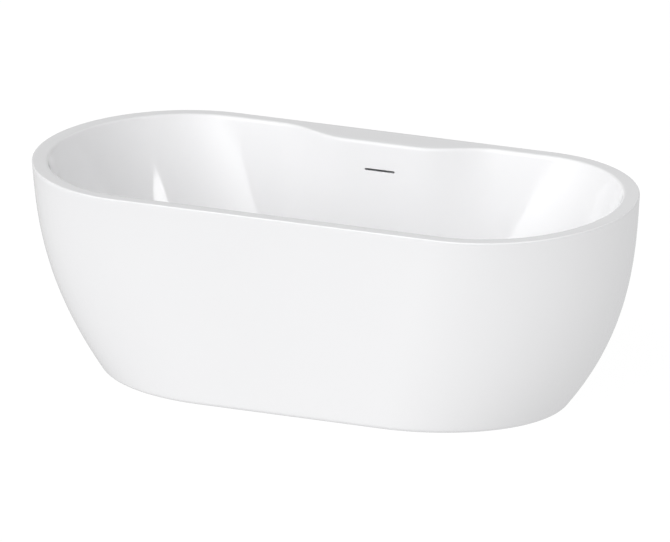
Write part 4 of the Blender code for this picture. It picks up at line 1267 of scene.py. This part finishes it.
lean = math.atan2(back_wall(SLOT_Z + 0.01) - back_wall(SLOT_Z - 0.01), 0.02)
down = Vector((0, -math.sin(lean), -math.cos(lean)))
origin = Vector((0, back_wall(SLOT_Z) + (BASIN_WALL + SHELL_GAP) / math.cos(lean), SLOT_Z))
box_middle = GASKET_THICKNESS + FIT + SHELL_DEPTH / 2
box_half = SLOT_HEIGHT / 2 + SHELL_BORDER
hose_top = origin + Matrix.Rotation(-lean, 4, "X") @ Vector(
    (0, box_middle, -box_half - SPIGOT_LENGTH + HOSE_GRIP)
)
grip_end = hose_top + HOSE_GRIP * down
turn_y = skirt_inside(FLOOR_HEIGHT) - HOSE_OFFSET
drop = grip_end.z - FLOOR_HEIGHT
end = SHOE_RADIUS + SPIGOT_LENGTH - HOSE_GRIP
spigot_z = middle_of("hose_clip_bottom").z
route = [hose_top, grip_end]
for share in (0.3, 0.65):
    z = grip_end.z - drop * share
    route.append(Vector((0, skirt_inside(z) - HOSE_OFFSET, z)))
route += [
    Vector((0, turn_y, FLOOR_HEIGHT)),
    Vector((0, turn_y - 2.0 * HOSE_RADIUS, spigot_z + 1.2 * HOSE_RADIUS)),
    Vector((0, turn_y - 5.0 * HOSE_RADIUS, spigot_z)),
    Vector((0, end + HOSE_GRIP, spigot_z)),
    Vector((0, end, spigot_z)),
]
curve = bpy.data.curves.new("hose_route", "CURVE")
curve.dimensions = "3D"
spline = curve.splines.new("BEZIER")
spline.bezier_points.add(len(route) - 1)
points = spline.bezier_points
for point, co in zip(points, route):
    point.co = co
    point.handle_left_type = point.handle_right_type = "AUTO"
for gripped, along in ((points[:2], down), (points[-2:], Vector((0, -1, 0)))):
    for point in gripped:
        point.handle_left_type = point.handle_right_type = "FREE"
        point.handle_left = point.co - along * HOSE_GRIP / 3
        point.handle_right = point.co + along * HOSE_GRIP / 3
guide = bpy.data.objects.new("hose_route", curve)
scene.collection.objects.link(guide)
bpy.context.view_layer.update()
fine = []
for first, second in zip(points, points[1:]):
    fine += interpolate_bezier(
        first.co, first.handle_right, second.handle_left, second.co, ROUTE_STEPS
    )[:-1]
fine.append(points[-1].co.copy())
bpy.data.objects.remove(guide)

lengths = [0.0]
for first, second in zip(fine, fine[1:]):
    lengths.append(lengths[-1] + (second - first).length)
hose_length = lengths[-1]
count = int(hose_length / HOSE_STEP)
path = []
index = 0
for i in range(count + 1):
    at = hose_length * i / count
    while index < len(fine) - 2 and lengths[index + 1] < at:
        index += 1
    share = (at - lengths[index]) / (lengths[index + 1] - lengths[index])
    path.append(fine[index].lerp(fine[index + 1], min(share, 1)))


def corrugated(share, angle):
    """Smooth cuffs, and ribs between them."""
    at = share * hose_length
    inside = min(at, hose_length - at) - HOSE_GRIP
    if inside < 0:
        return HOSE_RADIUS
    wave = 0.5 - 0.5 * math.cos(math.tau * inside / HOSE_RIB)
    return HOSE_RADIUS - HOSE_RIB_DEPTH * wave


outer = sweep(path, HOSE_SIDES, corrugated)
inner = sweep(path, HOSE_SIDES, lambda share, angle: corrugated(share, angle) - HOSE_WALL)
bm = close_up(stack_rings(HOSE_SIDES, [*outer, *reversed(inner), outer[0]]))
put(bm, "ribbed_hose", "bath", hose_grey, ["overflow_hose"], 60)


def clip(matrix):
    """A band round Z with the housing of its worm screw towards +X."""
    inner = HOSE_RADIUS + FIT
    outer = inner + CLIP_BAND
    half = CLIP_WIDTH / 2
    band = turn([(inner, half), (outer, half), (outer, -half), (inner, -half), (inner, half)], 72)
    ease(band, sharp_edges(band), 0.0002, 2)
    middle = outer + CLIP_BLOCK / 2 - CLIP_BITE
    housing = bmesh.new()
    shape = Matrix.Diagonal((CLIP_BLOCK - 2 * CLIP_BITE, 1.5 * CLIP_BLOCK, CLIP_WIDTH, 1))
    bmesh.ops.create_cube(housing, size=1, matrix=Matrix.Translation((middle, 0, 0)) @ shape)
    ease(housing, sharp_edges(housing), 0.0011, 3)
    along_y = Matrix.Translation((middle, 0, 0)) @ Matrix.Rotation(-math.pi / 2, 4, "X")
    head = hexagon(WORM_FLATS)
    reach = CLIP_BLOCK
    worm = turn([
        (0, -reach), (0.0016, -reach), (WORM_RADIUS, 0.0003 - reach), (WORM_RADIUS, WORM_NECK),
        (head, WORM_NECK), (head, reach - 0.0002), (0.0020, reach), (WORM_SOCKET, reach),
        (WORM_SOCKET, reach - 0.0009), (0, reach - 0.0009),
    ], 36, along_y)
    whole = join(band, housing, worm)
    bmesh.ops.transform(whole, matrix=matrix, verts=whole.verts)
    return whole


clip_top = hose_top + down * HOSE_GRIP / 2
bm = clip(Matrix.Translation(clip_top) @ Matrix.Rotation(-lean, 4, "X"))
put(bm, "clip_top", "bath", plate, ["hose_clip_top"])
clip_y = SHOE_RADIUS + SPIGOT_LENGTH - HOSE_GRIP / 2
bm = clip(Matrix.Translation((0, clip_y, spigot_z)) @ Matrix.Rotation(math.pi / 2, 4, "X"))
put(bm, "clip_bottom", "bath", plate, ["hose_clip_bottom"])
